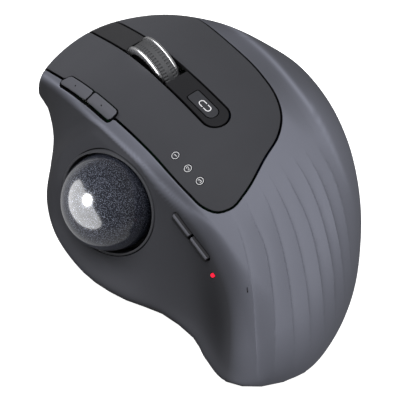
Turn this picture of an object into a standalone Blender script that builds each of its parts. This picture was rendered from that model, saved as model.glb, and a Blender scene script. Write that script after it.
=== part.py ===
"""A thumb-operated trackball mouse: sculpted shell, sprung keys, wheel, ball and the works inside."""

import math

import bmesh
import bpy
import numpy as np
from mathutils import Matrix, Vector

MM = 0.001
SHIFT = Vector((-3.437, 1.226, 0.0))  # moves the drawing so that its box is centred on the origin

# Heights of the base
FOOT_BOTTOM = 0.0
BASE_BOTTOM = 0.6
BASE_TOP = 2.7
LIP = 3.0  # where the upper shell's skirt begins
KEY_BOTTOM = 9.8  # lower edge of the keys at the front
OPENING_BOTTOM = 8.4  # top of the shell's front rim
GAP = 0.3
WALL = 1.8
DROP = 2.2  # upright thickness of the skin

# Plan outline of the mouse, anticlockwise from above backwards: front left corner first
OUTLINE = [
    (-18.8, 68), (-8.5, 71.5), (6, 71.8), (19, 69), (33, 61.5), (45, 50), (53.2, 35),
    (56.6, 17), (55.4, -2), (50.6, -19), (43, -34), (33, -47.5), (19, -61), (3, -70.5),
    (-13, -74.5), (-28, -69.5), (-36.5, -60.5), (-36.8, -50), (-35.2, -40.5), (-38, -27),
    (-44.5, -15.5), (-48.8, -3.5), (-49.8, 8), (-48, 20.5), (-42.5, 32), (-34, 41),
    (-26, 50), (-20.8, 60),
]
# Reach of the rounded edge at each outline point
ROUND = [3, 4, 5, 7, 9, 11, 13, 15, 16, 17, 17, 16, 15, 13, 11, 9, 8, 8, 8, 8, 7, 6, 6, 6, 6, 5, 4, 3]
ROUND_POWER = 2.5
MIDDLE = (5.0, 0.0)

# Guide curves, each as (y, value)
CROWN_X = 4.0
CROWN_Z = [
    (75, 15), (66, 21.5), (58, 27.5), (48, 34), (38, 38.5), (28, 42), (18, 44.8), (8, 46.8),
    (-2, 48.2), (-12, 49), (-22, 48.6), (-32, 47), (-42, 44), (-52, 39.5), (-62, 33.5), (-75, 24),
]
FALL_RIGHT = [(75, 0.0085), (40, 0.0118), (10, 0.0095), (-20, 0.0095), (-50, 0.0105), (-75, 0.011)]
FALL_LEFT = [(75, 0.010), (40, 0.014), (10, 0.012), (-20, 0.010), (-50, 0.012), (-75, 0.013)]
WING_X = [
    (75, -15), (66, -17), (58, -21), (49.5, -26.5), (41, -34), (32, -42.5), (20.5, -48),
    (7, -49.8), (-5, -48.5), (-16, -44.5), (-27, -38.5), (-40, -35.3), (-49, -36.5),
    (-58, -37.5), (-68, -34), (-75, -30),
]
CREASE_X = [
    (75, -18), (60, -18.2), (40, -18.6), (0, -18.6), (-15, -18.8), (-28, -18.6),
    (-40, -19.5), (-51, -22), (-60, -25.5), (-75, -30),
]
CREASE_Z = [
    (75, 12), (62, 18.5), (44, 27), (23, 34.5), (2, 39.2), (-15, 40), (-26, 38), (-39, 33),
    (-51, 25), (-60, 18), (-75, 8),
]
WING_Z = [(75, 6), (40, 6), (5, 6), (-10, 6.5), (-25, 6.5), (-40, 5.5), (-55, 5), (-75, 4)]
SCOOP_POWER = [
    (75, 1.1), (20, 1.25), (5, 1.2), (-15, 1.3), (-30, 1.6), (-45, 1.8), (-60, 1.4), (-75, 1.2),
]
CREASE_BLEND = 3.0
WING_LOW = 5.4  # least height of the surface inside the rounded edge

# The ball and its oval bezel
BALL = Vector((-30.9, 10.5, 20.5))
BALL_R = 17.0
CORE_R = 12.0
RING_NORMAL = Vector((-0.81, -0.14, 0.57)).normalized()
RING_OUT = 1.9  # bezel plane above the ball's centre
RING_LONG = 20.1
RING_SHORT = 18.4
RING_WIDE = 0.85

# Top panel and strip, in plan
PANEL = [
    (-15.4, 90), (-15.4, 40), (-15.4, 8), (-15.8, -14), (-15.2, -20.5), (-12.6, -25.4), (-8, -27.4),
    (-2, -26.3), (12, -20), (21, -15.6), (27.5, -9.5), (32, -1), (34.6, 11), (36, 26), (37, 44), (40, 90),
]
STRIP_X = 9.0
STRIP_HALF = 4.7
STRIP_END = -1.2
KEY_SPLIT = -5.0
WHEEL = Vector((9.0, 36.5, 30.8))
WHEEL_R = 12.0
SLOT_REAR = 25.0
SLOT_FRONT = 48.6


def along(table, y):
    """A smooth value read off a short guide table at y."""
    rows = sorted(table)
    ys = np.array([row[0] for row in rows], float)
    vs = np.array([row[1] for row in rows], float)
    slopes = np.gradient(vs, ys)
    i = np.clip(np.searchsorted(ys, y) - 1, 0, len(ys) - 2)
    h = ys[i + 1] - ys[i]
    t = np.clip((y - ys[i]) / h, 0, 1)
    a = (1 + 2 * t) * (1 - t) ** 2
    b = t * (1 - t) ** 2
    c = t * t * (3 - 2 * t)
    d = t * t * (t - 1)
    return a * vs[i] + b * h * slopes[i] + c * vs[i + 1] + d * h * slopes[i + 1]


def closed_curve(points, per):
    """Catmull-Rom curve through a closed list of points; any number of columns."""
    p = np.array(points, float).reshape(len(points), -1)
    before, after, further = np.roll(p, 1, 0), np.roll(p, -1, 0), np.roll(p, -2, 0)
    rows = []
    for t in np.linspace(0, 1, per, endpoint=False):
        rows.append(0.5 * (2 * p + (after - before) * t + (2 * before - 5 * p + 4 * after - further) * t ** 2
                           + (3 * p - before - 3 * after + further) * t ** 3))
    return np.stack(rows, 1).reshape(len(p) * per, -1)


def ring_axes():
    """Bezel centre and its long and short directions."""
    long_way = Vector((0, 0, 1)).cross(RING_NORMAL).normalized()
    if long_way.y < 0:
        long_way = -long_way
    short_way = RING_NORMAL.cross(long_way)
    if short_way.z < 0:
        short_way = -short_way
    return BALL + RING_NORMAL * RING_OUT, long_way, short_way


def smooth_min(a, b, k):
    h = np.clip(0.5 + 0.5 * (b - a) / k, 0, 1)
    return b * (1 - h) + a * h - k * h * (1 - h)


def crown(x, y):
    dx = x - CROWN_X
    fall = np.where(dx > 0, along(FALL_RIGHT, y), along(FALL_LEFT, y))
    return along(CROWN_Z, y) - fall * dx ** 2


def scoop(x, y):
    """Thumb side: rises from the wing to the crease, flat in the bezel's plane round the ball."""
    x_wing, x_crease = along(WING_X, y), along(CREASE_X, y)
    t = np.clip((x - x_wing) / np.maximum(x_crease - x_wing, 6), 0, None)
    power = along(SCOOP_POWER, y)
    rise = np.where(t < 1, t ** power, 1 + power * (t - 1) * 1.15)
    z = along(WING_Z, y) + (along(CREASE_Z, y) - along(WING_Z, y)) * rise
    centre, long_way, short_way = ring_axes()
    n = RING_NORMAL
    plane = centre.z - (n.x * (x - centre.x) + n.y * (y - centre.y)) / n.z
    q = np.stack([x - centre.x, y - centre.y, plane - centre.z], -1)
    far = np.hypot(q @ np.array(long_way) / RING_LONG, q @ np.array(short_way) / RING_SHORT)
    w = np.clip((1.6 - far) / 0.52, 0, 1)
    w = w * w * (3 - 2 * w)
    z = z * (1 - w) + plane * w
    return -smooth_min(-z, np.full_like(z, -WING_LOW), 2.0)


def height(x, y):
    """Top surface away from the rounded edge."""
    return smooth_min(crown(x, y), scoop(x, y), CREASE_BLEND)


# ---------------------------------------------------------------- scene and helpers

for old in list(bpy.data.objects):
    bpy.data.objects.remove(old, do_unlink=True)

PARTS = bpy.data.collections.new("trackball_mouse")
CUTTERS = bpy.data.collections.new("cutters")
bpy.context.scene.collection.children.link(PARTS)
bpy.context.scene.collection.children.link(CUTTERS)
CUTTERS.hide_render = True

frame = bpy.data.objects.new("frame", None)
frame.location = SHIFT * MM
PARTS.objects.link(frame)

LOOKS = {
    "shell_grey": ((0.20, 0.20, 0.235), 0.55, 0.0),
    "panel_dark": ((0.072, 0.073, 0.085), 0.5, 0.0),
    "strip_dark": ((0.03, 0.03, 0.036), 0.4, 0.0),
    "button_grey": ((0.15, 0.15, 0.175), 0.5, 0.0),
    "ball_gloss": ((0.02, 0.025, 0.04), 0.08, 0.0),
    "black_plastic": ((0.02, 0.02, 0.022), 0.45, 0.0),
    "tyre_rubber": ((0.03, 0.03, 0.032), 0.7, 0.0),
    "chrome": ((0.8, 0.8, 0.82), 0.12, 1.0),
    "steel": ((0.55, 0.55, 0.56), 0.3, 1.0),
    "board_green": ((0.02, 0.16, 0.07), 0.5, 0.0),
    "switch_white": ((0.7, 0.7, 0.68), 0.5, 0.0),
    "battery_blue": ((0.05, 0.12, 0.35), 0.45, 0.0),
    "lens_clear": ((0.75, 0.8, 0.85), 0.08, 0.0),
    "light_red": ((0.7, 0.02, 0.02), 0.3, 0.0),
    "sign_white": ((0.8, 0.8, 0.8), 0.4, 0.0),
    "foot_white": ((0.55, 0.55, 0.57), 0.4, 0.0),
    "bead_white": ((0.85, 0.85, 0.82), 0.15, 0.0),
}


def look(name):
    """One Principled material per colour."""
    material = bpy.data.materials.get(name)
    if material is None:
        colour, rough, metal = LOOKS[name]
        material = bpy.data.materials.new(name)
        material.use_nodes = True
        shader = material.node_tree.nodes["Principled BSDF"]
        shader.inputs["Base Color"].default_value = (*colour, 1.0)
        shader.inputs["Roughness"].default_value = rough
        shader.inputs["Metallic"].default_value = metal
        material.diffuse_color = (*colour, 1.0)
    return material


def add(name, bm, colour=None, at=None, turn=None, smooth=40):
    """Makes an object of a bmesh whose points are in millimetres; without a colour it is a cutter."""
    bmesh.ops.scale(bm, vec=(MM, MM, MM), verts=bm.verts)
    bmesh.ops.recalc_face_normals(bm, faces=bm.faces)
    mesh = bpy.data.meshes.new(name)
    bm.to_mesh(mesh)
    bm.free()
    obj = bpy.data.objects.new(name, mesh)
    obj.parent = frame
    if at is not None:
        obj.location = Vector(at) * MM
    if turn is not None:
        obj.rotation_mode = "QUATERNION"
        obj.rotation_quaternion = turn
    if colour:
        PARTS.objects.link(obj)
        mesh.materials.append(look(colour))
        mesh.shade_smooth()
        mesh.set_sharp_from_angle(angle=math.radians(smooth))
    else:
        CUTTERS.objects.link(obj)
        obj.hide_render = True
        obj.display_type = "WIRE"
    return obj


def boolean(obj, other, operation="DIFFERENCE"):
    """Cuts, keeps or joins at once, and leaves a clean mesh for the next cut."""
    modifier = obj.modifiers.new(operation.lower(), "BOOLEAN")
    modifier.operation = operation
    modifier.solver = "EXACT"
    modifier.object = other
    bpy.context.view_layer.update()
    graph = bpy.context.evaluated_depsgraph_get()
    mesh = bpy.data.meshes.new_from_object(obj.evaluated_get(graph))
    obj.modifiers.clear()
    bm = bmesh.new()
    bm.from_mesh(mesh)
    bmesh.ops.remove_doubles(bm, verts=bm.verts, dist=0.002 * MM)
    bmesh.ops.dissolve_degenerate(bm, edges=bm.edges, dist=0.002 * MM)
    bmesh.ops.triangulate(bm, faces=bm.faces)
    bm.to_mesh(mesh)
    bm.free()
    mesh.shade_smooth()
    mesh.set_sharp_from_angle(angle=math.radians(40))
    obj.data = mesh
    return obj


def box(name, size, at, colour=None, turn=None, bevel=0.0):
    bm = bmesh.new()
    bmesh.ops.create_cube(bm, size=1.0)
    bmesh.ops.scale(bm, vec=size, verts=bm.verts)
    if bevel:
        bmesh.ops.bevel(bm, geom=bm.edges[:], offset=bevel, segments=1, affect="EDGES")
    return add(name, bm, colour, at, turn)


def rod(name, r, depth, at, colour=None, axis=(0, 0, 1), sides=24, r_top=None):
    bm = bmesh.new()
    bmesh.ops.create_cone(bm, cap_ends=True, segments=sides, radius1=r,
                          radius2=r if r_top is None else r_top, depth=depth)
    turn = Vector((0, 0, 1)).rotation_difference(Vector(axis))
    return add(name, bm, colour, at, turn)


def prism(name, points, low, high, colour=None, at=None, turn=None):
    """An upright prism on a plan outline, from low to high."""
    bm = bmesh.new()
    face = bm.faces.new([bm.verts.new((p[0], p[1], low)) for p in points])
    sides = bmesh.ops.extrude_face_region(bm, geom=[face])
    top = [v for v in sides["geom"] if isinstance(v, bmesh.types.BMVert)]
    bmesh.ops.translate(bm, vec=(0, 0, high - low), verts=top)
    return add(name, bm, colour, at, turn)


def turned(name, profile, at, colour, axis=(0, 0, 1), steps=32):
    """A body turned about +Z from an (r, z) profile that runs down its outer side, then laid along axis."""
    bm = bmesh.new()
    rings = []
    for r, z in profile:
        rings.append([bm.verts.new((r * math.cos(2 * math.pi * k / steps), r * math.sin(2 * math.pi * k / steps), z))
                      for k in range(steps)])
    for i in range(len(rings)):
        a, b = rings[i], rings[(i + 1) % len(rings)]
        for k in range(steps):
            bm.faces.new((a[k], a[(k + 1) % steps], b[(k + 1) % steps], b[k]))
    turn = Vector((0, 0, 1)).rotation_difference(Vector(axis))
    return add(name, bm, colour, at, turn)


def ball_mesh(name, r, at, colour=None, across=24, up=14):
    bm = bmesh.new()
    bmesh.ops.create_uvsphere(bm, u_segments=across, v_segments=up, radius=r)
    return add(name, bm, colour, at)


def stadium(half_long, half_wide, corner, steps=4):
    """A rectangle in plan with round corners, centred on the origin."""
    points = []
    for cx, cy, start in ((1, 1, 0), (-1, 1, 90), (-1, -1, 180), (1, -1, 270)):
        for k in range(steps + 1):
            a = math.radians(start + 90 * k / steps)
            points.append((cx * (half_long - corner) + corner * math.cos(a),
                           cy * (half_wide - corner) + corner * math.sin(a)))
    return points


def moved(points, x, y):
    return [(p[0] + x, p[1] + y) for p in points]


# ---------------------------------------------------------------- the sculpted skin

PER = 3
edge = closed_curve(OUTLINE, PER)
reach = closed_curve(ROUND, PER)[:, 0]
tangent = np.roll(edge, -1, 0) - np.roll(edge, 1, 0)
tangent /= np.linalg.norm(tangent, axis=1)[:, None]
inward = np.stack([tangent[:, 1], -tangent[:, 0]], 1)  # the outline runs clockwise seen from above


def skin_rings(inset, reach_in, drop):
    """Rings of points up the rounded edge and in to the middle, at heights lowered by drop."""
    rings = []
    for degrees in (0, 9, 24, 42, 64, 90):
        phi = math.radians(degrees)
        t = 1 - math.cos(phi) ** (2 / ROUND_POWER)
        lift = math.sin(phi) ** (2 / ROUND_POWER)
        flat = edge + inward * (inset + reach_in * t)[:, None]
        z = LIP + (height(flat[:, 0], flat[:, 1]) - drop - LIP) * lift
        rings.append(np.column_stack([flat, z]))
    last = rings[-1][:, :2]
    for share in (0.86, 0.72, 0.58, 0.44, 0.3, 0.15):
        flat = np.array(MIDDLE) + share * (last - np.array(MIDDLE))
        rings.append(np.column_stack([flat, height(flat[:, 0], flat[:, 1]) - drop]))
    return rings


def skin(name, colour=None):
    """The whole skin as one closed body: outside, inside and the flat rim between them."""
    outside = skin_rings(np.zeros(len(edge)), reach, 0.0)
    inside = skin_rings(np.full(len(edge), WALL), reach - 1.2, DROP)
    bm = bmesh.new()
    loops = [[bm.verts.new(p) for p in ring] for ring in reversed(inside)]
    loops += [[bm.verts.new(p) for p in ring] for ring in outside]
    count = len(edge)
    for a, b in zip(loops, loops[1:]):
        for k in range(count):
            bm.faces.new((a[k], a[(k + 1) % count], b[(k + 1) % count], b[k]))
    for ring, drop in ((loops[0], DROP), (loops[-1], 0.0)):
        z = float(height(np.array(MIDDLE[0]), np.array(MIDDLE[1]))) - drop
        tip = bm.verts.new((MIDDLE[0], MIDDLE[1], z))
        for k in range(count):
            bm.faces.new((ring[k], ring[(k + 1) % count], tip))
    return add(name, bm, colour)


centre, long_way, short_way = ring_axes()
ring_turn = Matrix((long_way, RING_NORMAL.cross(long_way), RING_NORMAL)).transposed().to_quaternion()


def oval(a, b, steps=36):
    return [(a * math.cos(2 * math.pi * k / steps), b * math.sin(2 * math.pi * k / steps)) for k in range(steps)]


def grown(points, by):
    """A plan outline moved outwards by a distance, on the mean of each corner's two sides."""
    p = np.array(points, float)
    ahead = np.roll(p, -1, 0) - p
    ahead /= np.linalg.norm(ahead, axis=1)[:, None]
    area = np.sum(p[:, 0] * np.roll(p[:, 1], -1) - p[:, 1] * np.roll(p[:, 0], -1))
    out = np.stack([ahead[:, 1], -ahead[:, 0]], 1) * np.sign(area)
    both = out + np.roll(out, 1, 0)
    both /= (1 + np.sum(out * np.roll(out, 1, 0), axis=1))[:, None]
    return [tuple(q) for q in p + both * by]


def strip_plan(by):
    """The strip's plan outline: straight sides and a round rear end, grown by a distance."""
    half = STRIP_HALF + by
    points = [(STRIP_X + half, 90), (STRIP_X - half, 90)]
    for k in range(9):
        a = math.pi + math.pi * k / 8
        points.append((STRIP_X + half * math.cos(a), STRIP_END + STRIP_HALF + half * math.sin(a)))
    return points


FORWARD = stadium(1.9, 7.55, 1.8)
FORWARD_AT = (-15.5, 49.8)
BACK = stadium(1.95, 6.55, 1.8)
BACK_AT = (-15.2, 35.2)
PAIR = [(-2.3, -4.2), (-1.6, -5.7), (0, -6.3), (1.6, -5.7), (2.3, -4.2), (2.3, 6.2), (-2.3, 6.2)]
PAIR_AT = (STRIP_X - 0.2, 9.4)

# Cutters shared by several pieces
panel_opening = prism("cut_panel_opening", grown(PANEL, 0.15), OPENING_BOTTOM, 60)
panel_solid = prism("cut_panel_solid", grown(PANEL, -0.15), KEY_BOTTOM, 60)
strip_gap = prism("cut_strip_gap", strip_plan(0.3), -5, 70)
forward_gap = prism("cut_forward_gap", moved(grown(FORWARD, 0.3), *FORWARD_AT), 5, 70)
back_gap = prism("cut_back_gap", moved(grown(BACK, 0.3), *BACK_AT), 5, 70)

# Frame of the two resolution buttons: along the crease, out of the scoop wall
DPI_AT = Vector((-21.6, -22.0, 32.6))
DPI_ALONG = Vector((0.0, -0.97, -0.24)).normalized()
DPI_OUT = Vector((-0.80, -0.14, 0.58))
DPI_OUT = (DPI_OUT - DPI_ALONG * DPI_OUT.dot(DPI_ALONG)).normalized()
dpi_turn = Matrix((DPI_ALONG, DPI_OUT.cross(DPI_ALONG), DPI_OUT)).transposed().to_quaternion()
dpi_slot = prism("cut_dpi_slot", stadium(10.1, 1.75, 1.6), -9, 9, None, DPI_AT, dpi_turn)
dpi_light_hole = rod("cut_dpi_light", 1.15, 14, (-22.3, -35.2, 25.6), None, DPI_OUT, 12)
bezel_hole = prism("cut_bezel_hole", oval(RING_LONG + 0.3, RING_SHORT + 0.3), -30, 30, None, centre, ring_turn)

USB_AT = Vector((STRIP_X, 66.5, 5.75))
upright = Matrix.Rotation(math.radians(90), 4, "X").to_quaternion()
usb_gap = prism("cut_usb_gap", stadium(4.9, 2.0, 1.9), -9, 9, None, USB_AT, upright)

upper = skin("upper_shell", "shell_grey")
for cutter in (panel_opening, forward_gap, back_gap, dpi_slot, dpi_light_hole, bezel_hole, usb_gap):
    boolean(upper, cutter)

# ---------------------------------------------------------------- top panel, keys and strip

SPLIT_REAR = KEY_SPLIT - 0.15
SPLIT_FRONT = KEY_SPLIT + 0.15
rear_half = box("cut_rear_half", (120, 80, 120), (0, SPLIT_REAR - 40, 30))
left_half = box("cut_left_half", (60, 140, 120), (STRIP_X - 0.15 - 30, SPLIT_FRONT + 70, 30))
right_half = box("cut_right_half", (60, 140, 120), (STRIP_X + 0.15 + 30, SPLIT_FRONT + 70, 30))
LIGHTS = ((-10.5, 0.2), (-10.5, -6.6), (-10.4, -13.0))
light_holes = [rod("cut_device_light_%d" % (i + 1), 1.75, 20, (x, y, 45), None, (0, 0, 1), 16)
               for i, (x, y) in enumerate(LIGHTS)]

panel_rear = boolean(boolean(skin("panel_rear", "panel_dark"), panel_solid, "INTERSECT"), rear_half, "INTERSECT")
boolean(panel_rear, light_holes[1])
boolean(panel_rear, light_holes[2])
left_key = boolean(boolean(skin("left_key", "panel_dark"), panel_solid, "INTERSECT"), left_half, "INTERSECT")
for cutter in (strip_gap, forward_gap, back_gap, light_holes[0]):
    boolean(left_key, cutter)
right_key = boolean(boolean(skin("right_key", "panel_dark"), panel_solid, "INTERSECT"), right_half, "INTERSECT")
boolean(right_key, strip_gap)

strip_solid = prism("cut_strip_solid", strip_plan(0.0), OPENING_BOTTOM + 0.3, 70)
strip_tail = box("cut_strip_tail", (30, 40, 120), (STRIP_X, SLOT_REAR - 20, 30))
strip_nose = box("cut_strip_nose", (30, 60, 120), (STRIP_X, SLOT_FRONT + 30, 30))
pair_gap = prism("cut_pair_gap", moved(grown(PAIR, 0.3), *PAIR_AT), 20, 70)
centre_strip = boolean(boolean(skin("centre_strip", "strip_dark"), strip_solid, "INTERSECT"), strip_tail, "INTERSECT")
boolean(centre_strip, pair_gap)
front_cap = boolean(boolean(skin("front_cap", "panel_dark"), strip_solid, "INTERSECT"), strip_nose, "INTERSECT")

pair_solid = prism("cut_pair_solid", moved(PAIR, *PAIR_AT), 20, 70)
boolean(skin("pair_button", "strip_dark"), pair_solid, "INTERSECT")
forward_solid = prism("cut_forward_solid", moved(FORWARD, *FORWARD_AT), 8, 70)
boolean(skin("forward_button", "button_grey"), forward_solid, "INTERSECT")
back_solid = prism("cut_back_solid", moved(BACK, *BACK_AT), 8, 70)
boolean(skin("back_button", "button_grey"), back_solid, "INTERSECT")

for i, (x, y) in enumerate(LIGHTS):
    top = float(height(np.array(x), np.array(y)))
    rod("device_light_%d" % (i + 1), 1.45, 4.0, (x, y, top - 1.9), "sign_white", (0, 0, 1), 16)

# Resolution buttons and their light
for name, place in (("dpi_up_button", -4.95), ("dpi_down_button", 4.95)):
    prism(name, moved(stadium(4.6, 1.3, 1.1, 3), place, 0), -3.7, 1.5, "button_grey", DPI_AT, dpi_turn)
rod("dpi_light", 0.8, 4.0, Vector((-22.3, -35.2, 25.6)) - DPI_OUT * 1.7, "light_red", DPI_OUT, 12)

# ---------------------------------------------------------------- bezel, ball and socket

bezel = prism("ball_ring", oval(RING_LONG, RING_SHORT), -2.2, 0.35, "shell_grey", centre, ring_turn)
boolean(bezel, prism("cut_bezel", oval(RING_LONG - RING_WIDE, RING_SHORT - RING_WIDE), -5, 5, None, centre, ring_turn))

SENSOR_WAY = Vector((0.88, -0.30, -0.36)).normalized()
BEAD_R = 1.25
BEAD_WAYS = (
    Vector((0.05, 0.87, -0.49)).normalized(),
    Vector((0.15, -0.80, -0.58)).normalized(),
    Vector((0.93, 0.20, 0.30)).normalized(),
)
SOCKET_IN = 17.4
SOCKET_OUT = 18.6
rim_in = math.degrees(math.asin(4.0 / SOCKET_IN))
rim_out = math.degrees(math.asin(4.0 / SOCKET_OUT))
profile = []
for k in range(6):
    a = math.radians(rim_out + (82 - rim_out) * k / 5)
    profile.append((SOCKET_OUT * math.cos(a), -SOCKET_OUT * math.sin(a)))
for k in range(6):
    a = math.radians(82 + (rim_in - 82) * k / 5)
    profile.append((SOCKET_IN * math.cos(a), -SOCKET_IN * math.sin(a)))
socket = turned("ball_socket", profile, BALL, "black_plastic", RING_NORMAL, 22)
boolean(socket, rod("cut_push_out", 5.0, 16, BALL + Vector((0, 0, -16)), None, (0, 0, 1), 16))
boolean(socket, rod("cut_sensor_window", 3.6, 10, BALL + SENSOR_WAY * 18, None, SENSOR_WAY, 16))
for i, way in enumerate(BEAD_WAYS):
    boolean(socket, rod("cut_bead_%d" % (i + 1), BEAD_R + 0.3, 6, BALL + way * 18.5, None, way, 12))
    ball_mesh("bearing_bead_%d" % (i + 1), BEAD_R, BALL + way * (BALL_R + BEAD_R + 0.05), "bead_white", 10, 6)

core = ball_mesh("trackball_core", CORE_R, BALL, "black_plastic", 16, 10)
ball = ball_mesh("trackball_shell", BALL_R, BALL, "ball_gloss", 26, 15)
hollow = ball_mesh("cut_ball_hollow", CORE_R + 0.8, BALL, None, 16, 10)
boolean(ball, hollow)
boolean(ball, rod("cut_gate", 0.6, 10, BALL + Vector((0.0, 0.0, -16.0)), None, (0, 0, 1), 8))

lens_turn = Vector((0, 0, 1)).rotation_difference(SENSOR_WAY)
rod("sensor_lens", 3.0, 1.6, BALL + SENSOR_WAY * 18.6, "lens_clear", SENSOR_WAY, 16)
box("sensor_chip", (8, 8, 1.8), BALL + SENSOR_WAY * 20.8, "black_plastic", lens_turn)
box("sensor_board", (13, 12, 1.2), BALL + SENSOR_WAY * 22.7, "board_green", lens_turn)

# ---------------------------------------------------------------- base

base_edge = closed_curve(OUTLINE, 2)
base_tangent = np.roll(base_edge, -1, 0) - np.roll(base_edge, 1, 0)
base_tangent /= np.linalg.norm(base_tangent, axis=1)[:, None]
base_in = np.stack([base_tangent[:, 1], -base_tangent[:, 0]], 1)
bm = bmesh.new()
floors = []
for inset, z in ((1.4, BASE_BOTTOM), (0.4, BASE_BOTTOM + 0.9), (0.3, BASE_TOP)):
    floors.append([bm.verts.new((p[0], p[1], z)) for p in base_edge + base_in * inset])
for a, b in zip(floors, floors[1:]):
    for k in range(len(a)):
        bm.faces.new((a[k], a[(k + 1) % len(a)], b[(k + 1) % len(a)], b[k]))
bm.faces.new(floors[0])
bm.faces.new(floors[-1])
bmesh.ops.triangulate(bm, faces=[f for f in bm.faces if len(f.verts) > 4])
base = add("base_shell", bm, "black_plastic")

BAY = Vector((12.0, -43.0, 0.0))
boolean(base, box("join_bay", (18.4, 9.4, 18.9), BAY + Vector((0, 0, 11.15))), "UNION")
boolean(base, box("cut_bay", (15.0, 6.4, 20.0), BAY + Vector((0, 0, 9.3))))
boolean(base, rod("cut_push_hole", 7.5, 8, (BALL.x, BALL.y, 1.5), None, (0, 0, 1), 20))
SLIDER = Vector((-8.0, -52.0, 0.0))
boolean(base, prism("cut_slider", moved(stadium(5.2, 2.2, 1.0, 2), SLIDER.x, SLIDER.y), -2, 6))

FEET = (
    (-2.0, 62.5, 9.0, 2.6, 0), (44.0, 20.0, 9.0, 2.6, 100), (31.0, -38.0, 8.0, 2.6, 50),
    (-20.0, -64.0, 9.0, 2.6, -10), (-43.5, -5.0, 6.0, 2.2, 118),
)
for i, (x, y, half_long, half_wide, angle) in enumerate(FEET):
    turn = Matrix.Rotation(math.radians(angle), 4, "Z").to_quaternion()
    plan = stadium(half_long, half_wide, half_wide - 0.05, 3)
    boolean(base, prism("cut_foot_%d" % (i + 1), grown(plan, 0.3), -1, BASE_BOTTOM + 0.6, None, (x, y, 0), turn))
    prism("foot_%d" % (i + 1), plan, FOOT_BOTTOM, BASE_BOTTOM + 0.3, "foot_white", (x, y, 0), turn)

# Screws up into posts that hang from the shell
under = skin_rings(np.full(len(edge), 0.9), reach - 0.6, 1.1)
bm = bmesh.new()
loops = [[bm.verts.new(p) for p in ring] for ring in under]
for a, b in zip(loops, loops[1:]):
    for k in range(len(a)):
        bm.faces.new((a[k], a[(k + 1) % len(a)], b[(k + 1) % len(a)], b[k]))
bm.faces.new(loops[0])
bm.faces.new(loops[-1])
bmesh.ops.triangulate(bm, faces=[f for f in bm.faces if len(f.verts) > 4])
under_skin = add("cut_under_skin", bm)

SCREWS = ((-24.5, 43.0, 8.5), (45.0, 5.0, 12.0), (2.0, -58.0, 12.0), (-31.0, -52.0, 7.5))
for i, (x, y, high) in enumerate(SCREWS):
    post = rod("join_post_%d" % (i + 1), 2.9, 60, (x, y, LIP + 0.15 + 30), None, (0, 0, 1), 12)
    boolean(post, under_skin, "INTERSECT")
    boolean(upper, post, "UNION")
    boolean(upper, rod("cut_post_%d" % (i + 1), 1.35, 2 * (high + 0.6), (x, y, 0), None, (0, 0, 1), 12))
    boolean(base, rod("cut_head_%d" % (i + 1), 2.7, 4, (x, y, -0.2), None, (0, 0, 1), 16))
    boolean(base, rod("cut_shank_%d" % (i + 1), 1.3, 8, (x, y, 1.5), None, (0, 0, 1), 12))
    screw = rod("screw_%d" % (i + 1), 2.4, 0.8, (x, y, 1.1), "steel", (0, 0, 1), 16)
    shank = rod("join_shank_%d" % (i + 1), 1.0, high - 1.3, (x, y, (high + 1.3) / 2), None, (0, 0, 1), 10)
    boolean(screw, shank, "UNION")
    boolean(screw, rod("cut_drive_%d" % (i + 1), 0.9, 1.2, (x, y, 0.55), None, (0, 0, 1), 6))

# ---------------------------------------------------------------- electronics

BOARD_LOW, BOARD_TOP = 5.2, 6.4
prism("main_board", [(-12.5, 57), (-12.5, 20), (-4, 14), (-4, -9), (-12.5, -15), (-12.5, -28), (4, -34), (28, -29), (40, -8), (40, 18), (33, 44), (22, 58)],
      BOARD_LOW, BOARD_TOP, "board_green")
box("battery", (22, 32, 6), (29, 5, BOARD_TOP + 3.4), "battery_blue", None, 0.8)

port = prism("usb_c_port", stadium(4.45, 1.6, 1.5), -3.7, 3.7, "steel", USB_AT, upright)
boolean(port, prism("cut_port", stadium(4.1, 1.25, 1.15), 0, 8, None, USB_AT + Vector((0, 3.0, 0)),
                    Matrix.Rotation(math.radians(-90), 4, "X").to_quaternion()))


def micro_switch(name, size, at, turn=None, nub=0.8):
    """A small switch: its case, with the nub that a key presses."""
    case = box(name, size, at, "switch_white", turn)
    way = Vector((0, 0, 1))
    if turn is not None:
        way.rotate(turn)
    top = Vector(at) + way * (size[2] / 2)
    boolean(case, rod("join_" + name, nub, 1.0, top, None, way, 8), "UNION")
    return case


LEFT_PRESS = (-6.0, 50.0)
RIGHT_PRESS = (25.0, 48.0)
PAIR_PRESS = (PAIR_AT[0], PAIR_AT[1])
SWITCH_TOP = BOARD_TOP + 0.3 + 6.5
for name, place in (("switch_left", LEFT_PRESS), ("switch_right", RIGHT_PRESS), ("switch_pair", PAIR_PRESS)):
    micro_switch(name, (5.8, 12.8, 6.5), (place[0], place[1], BOARD_TOP + 0.3 + 3.25))
micro_switch("switch_wheel", (6, 6, 4.4), (WHEEL.x + 10.5, WHEEL.y, BOARD_TOP + 0.3 + 2.2))


def press_post(obj, place, low):
    """A rib under a key that reaches down to its switch."""
    post = rod("join_press_" + obj.name, 1.5, 60, (place[0], place[1], low + 30), None, (0, 0, 1), 10)
    boolean(post, under_skin, "INTERSECT")
    boolean(obj, post, "UNION")


press_post(left_key, LEFT_PRESS, SWITCH_TOP + 1.5)
press_post(right_key, RIGHT_PRESS, SWITCH_TOP + 1.5)
press_post(bpy.data.objects["pair_button"], PAIR_PRESS, SWITCH_TOP + 1.3)

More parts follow.
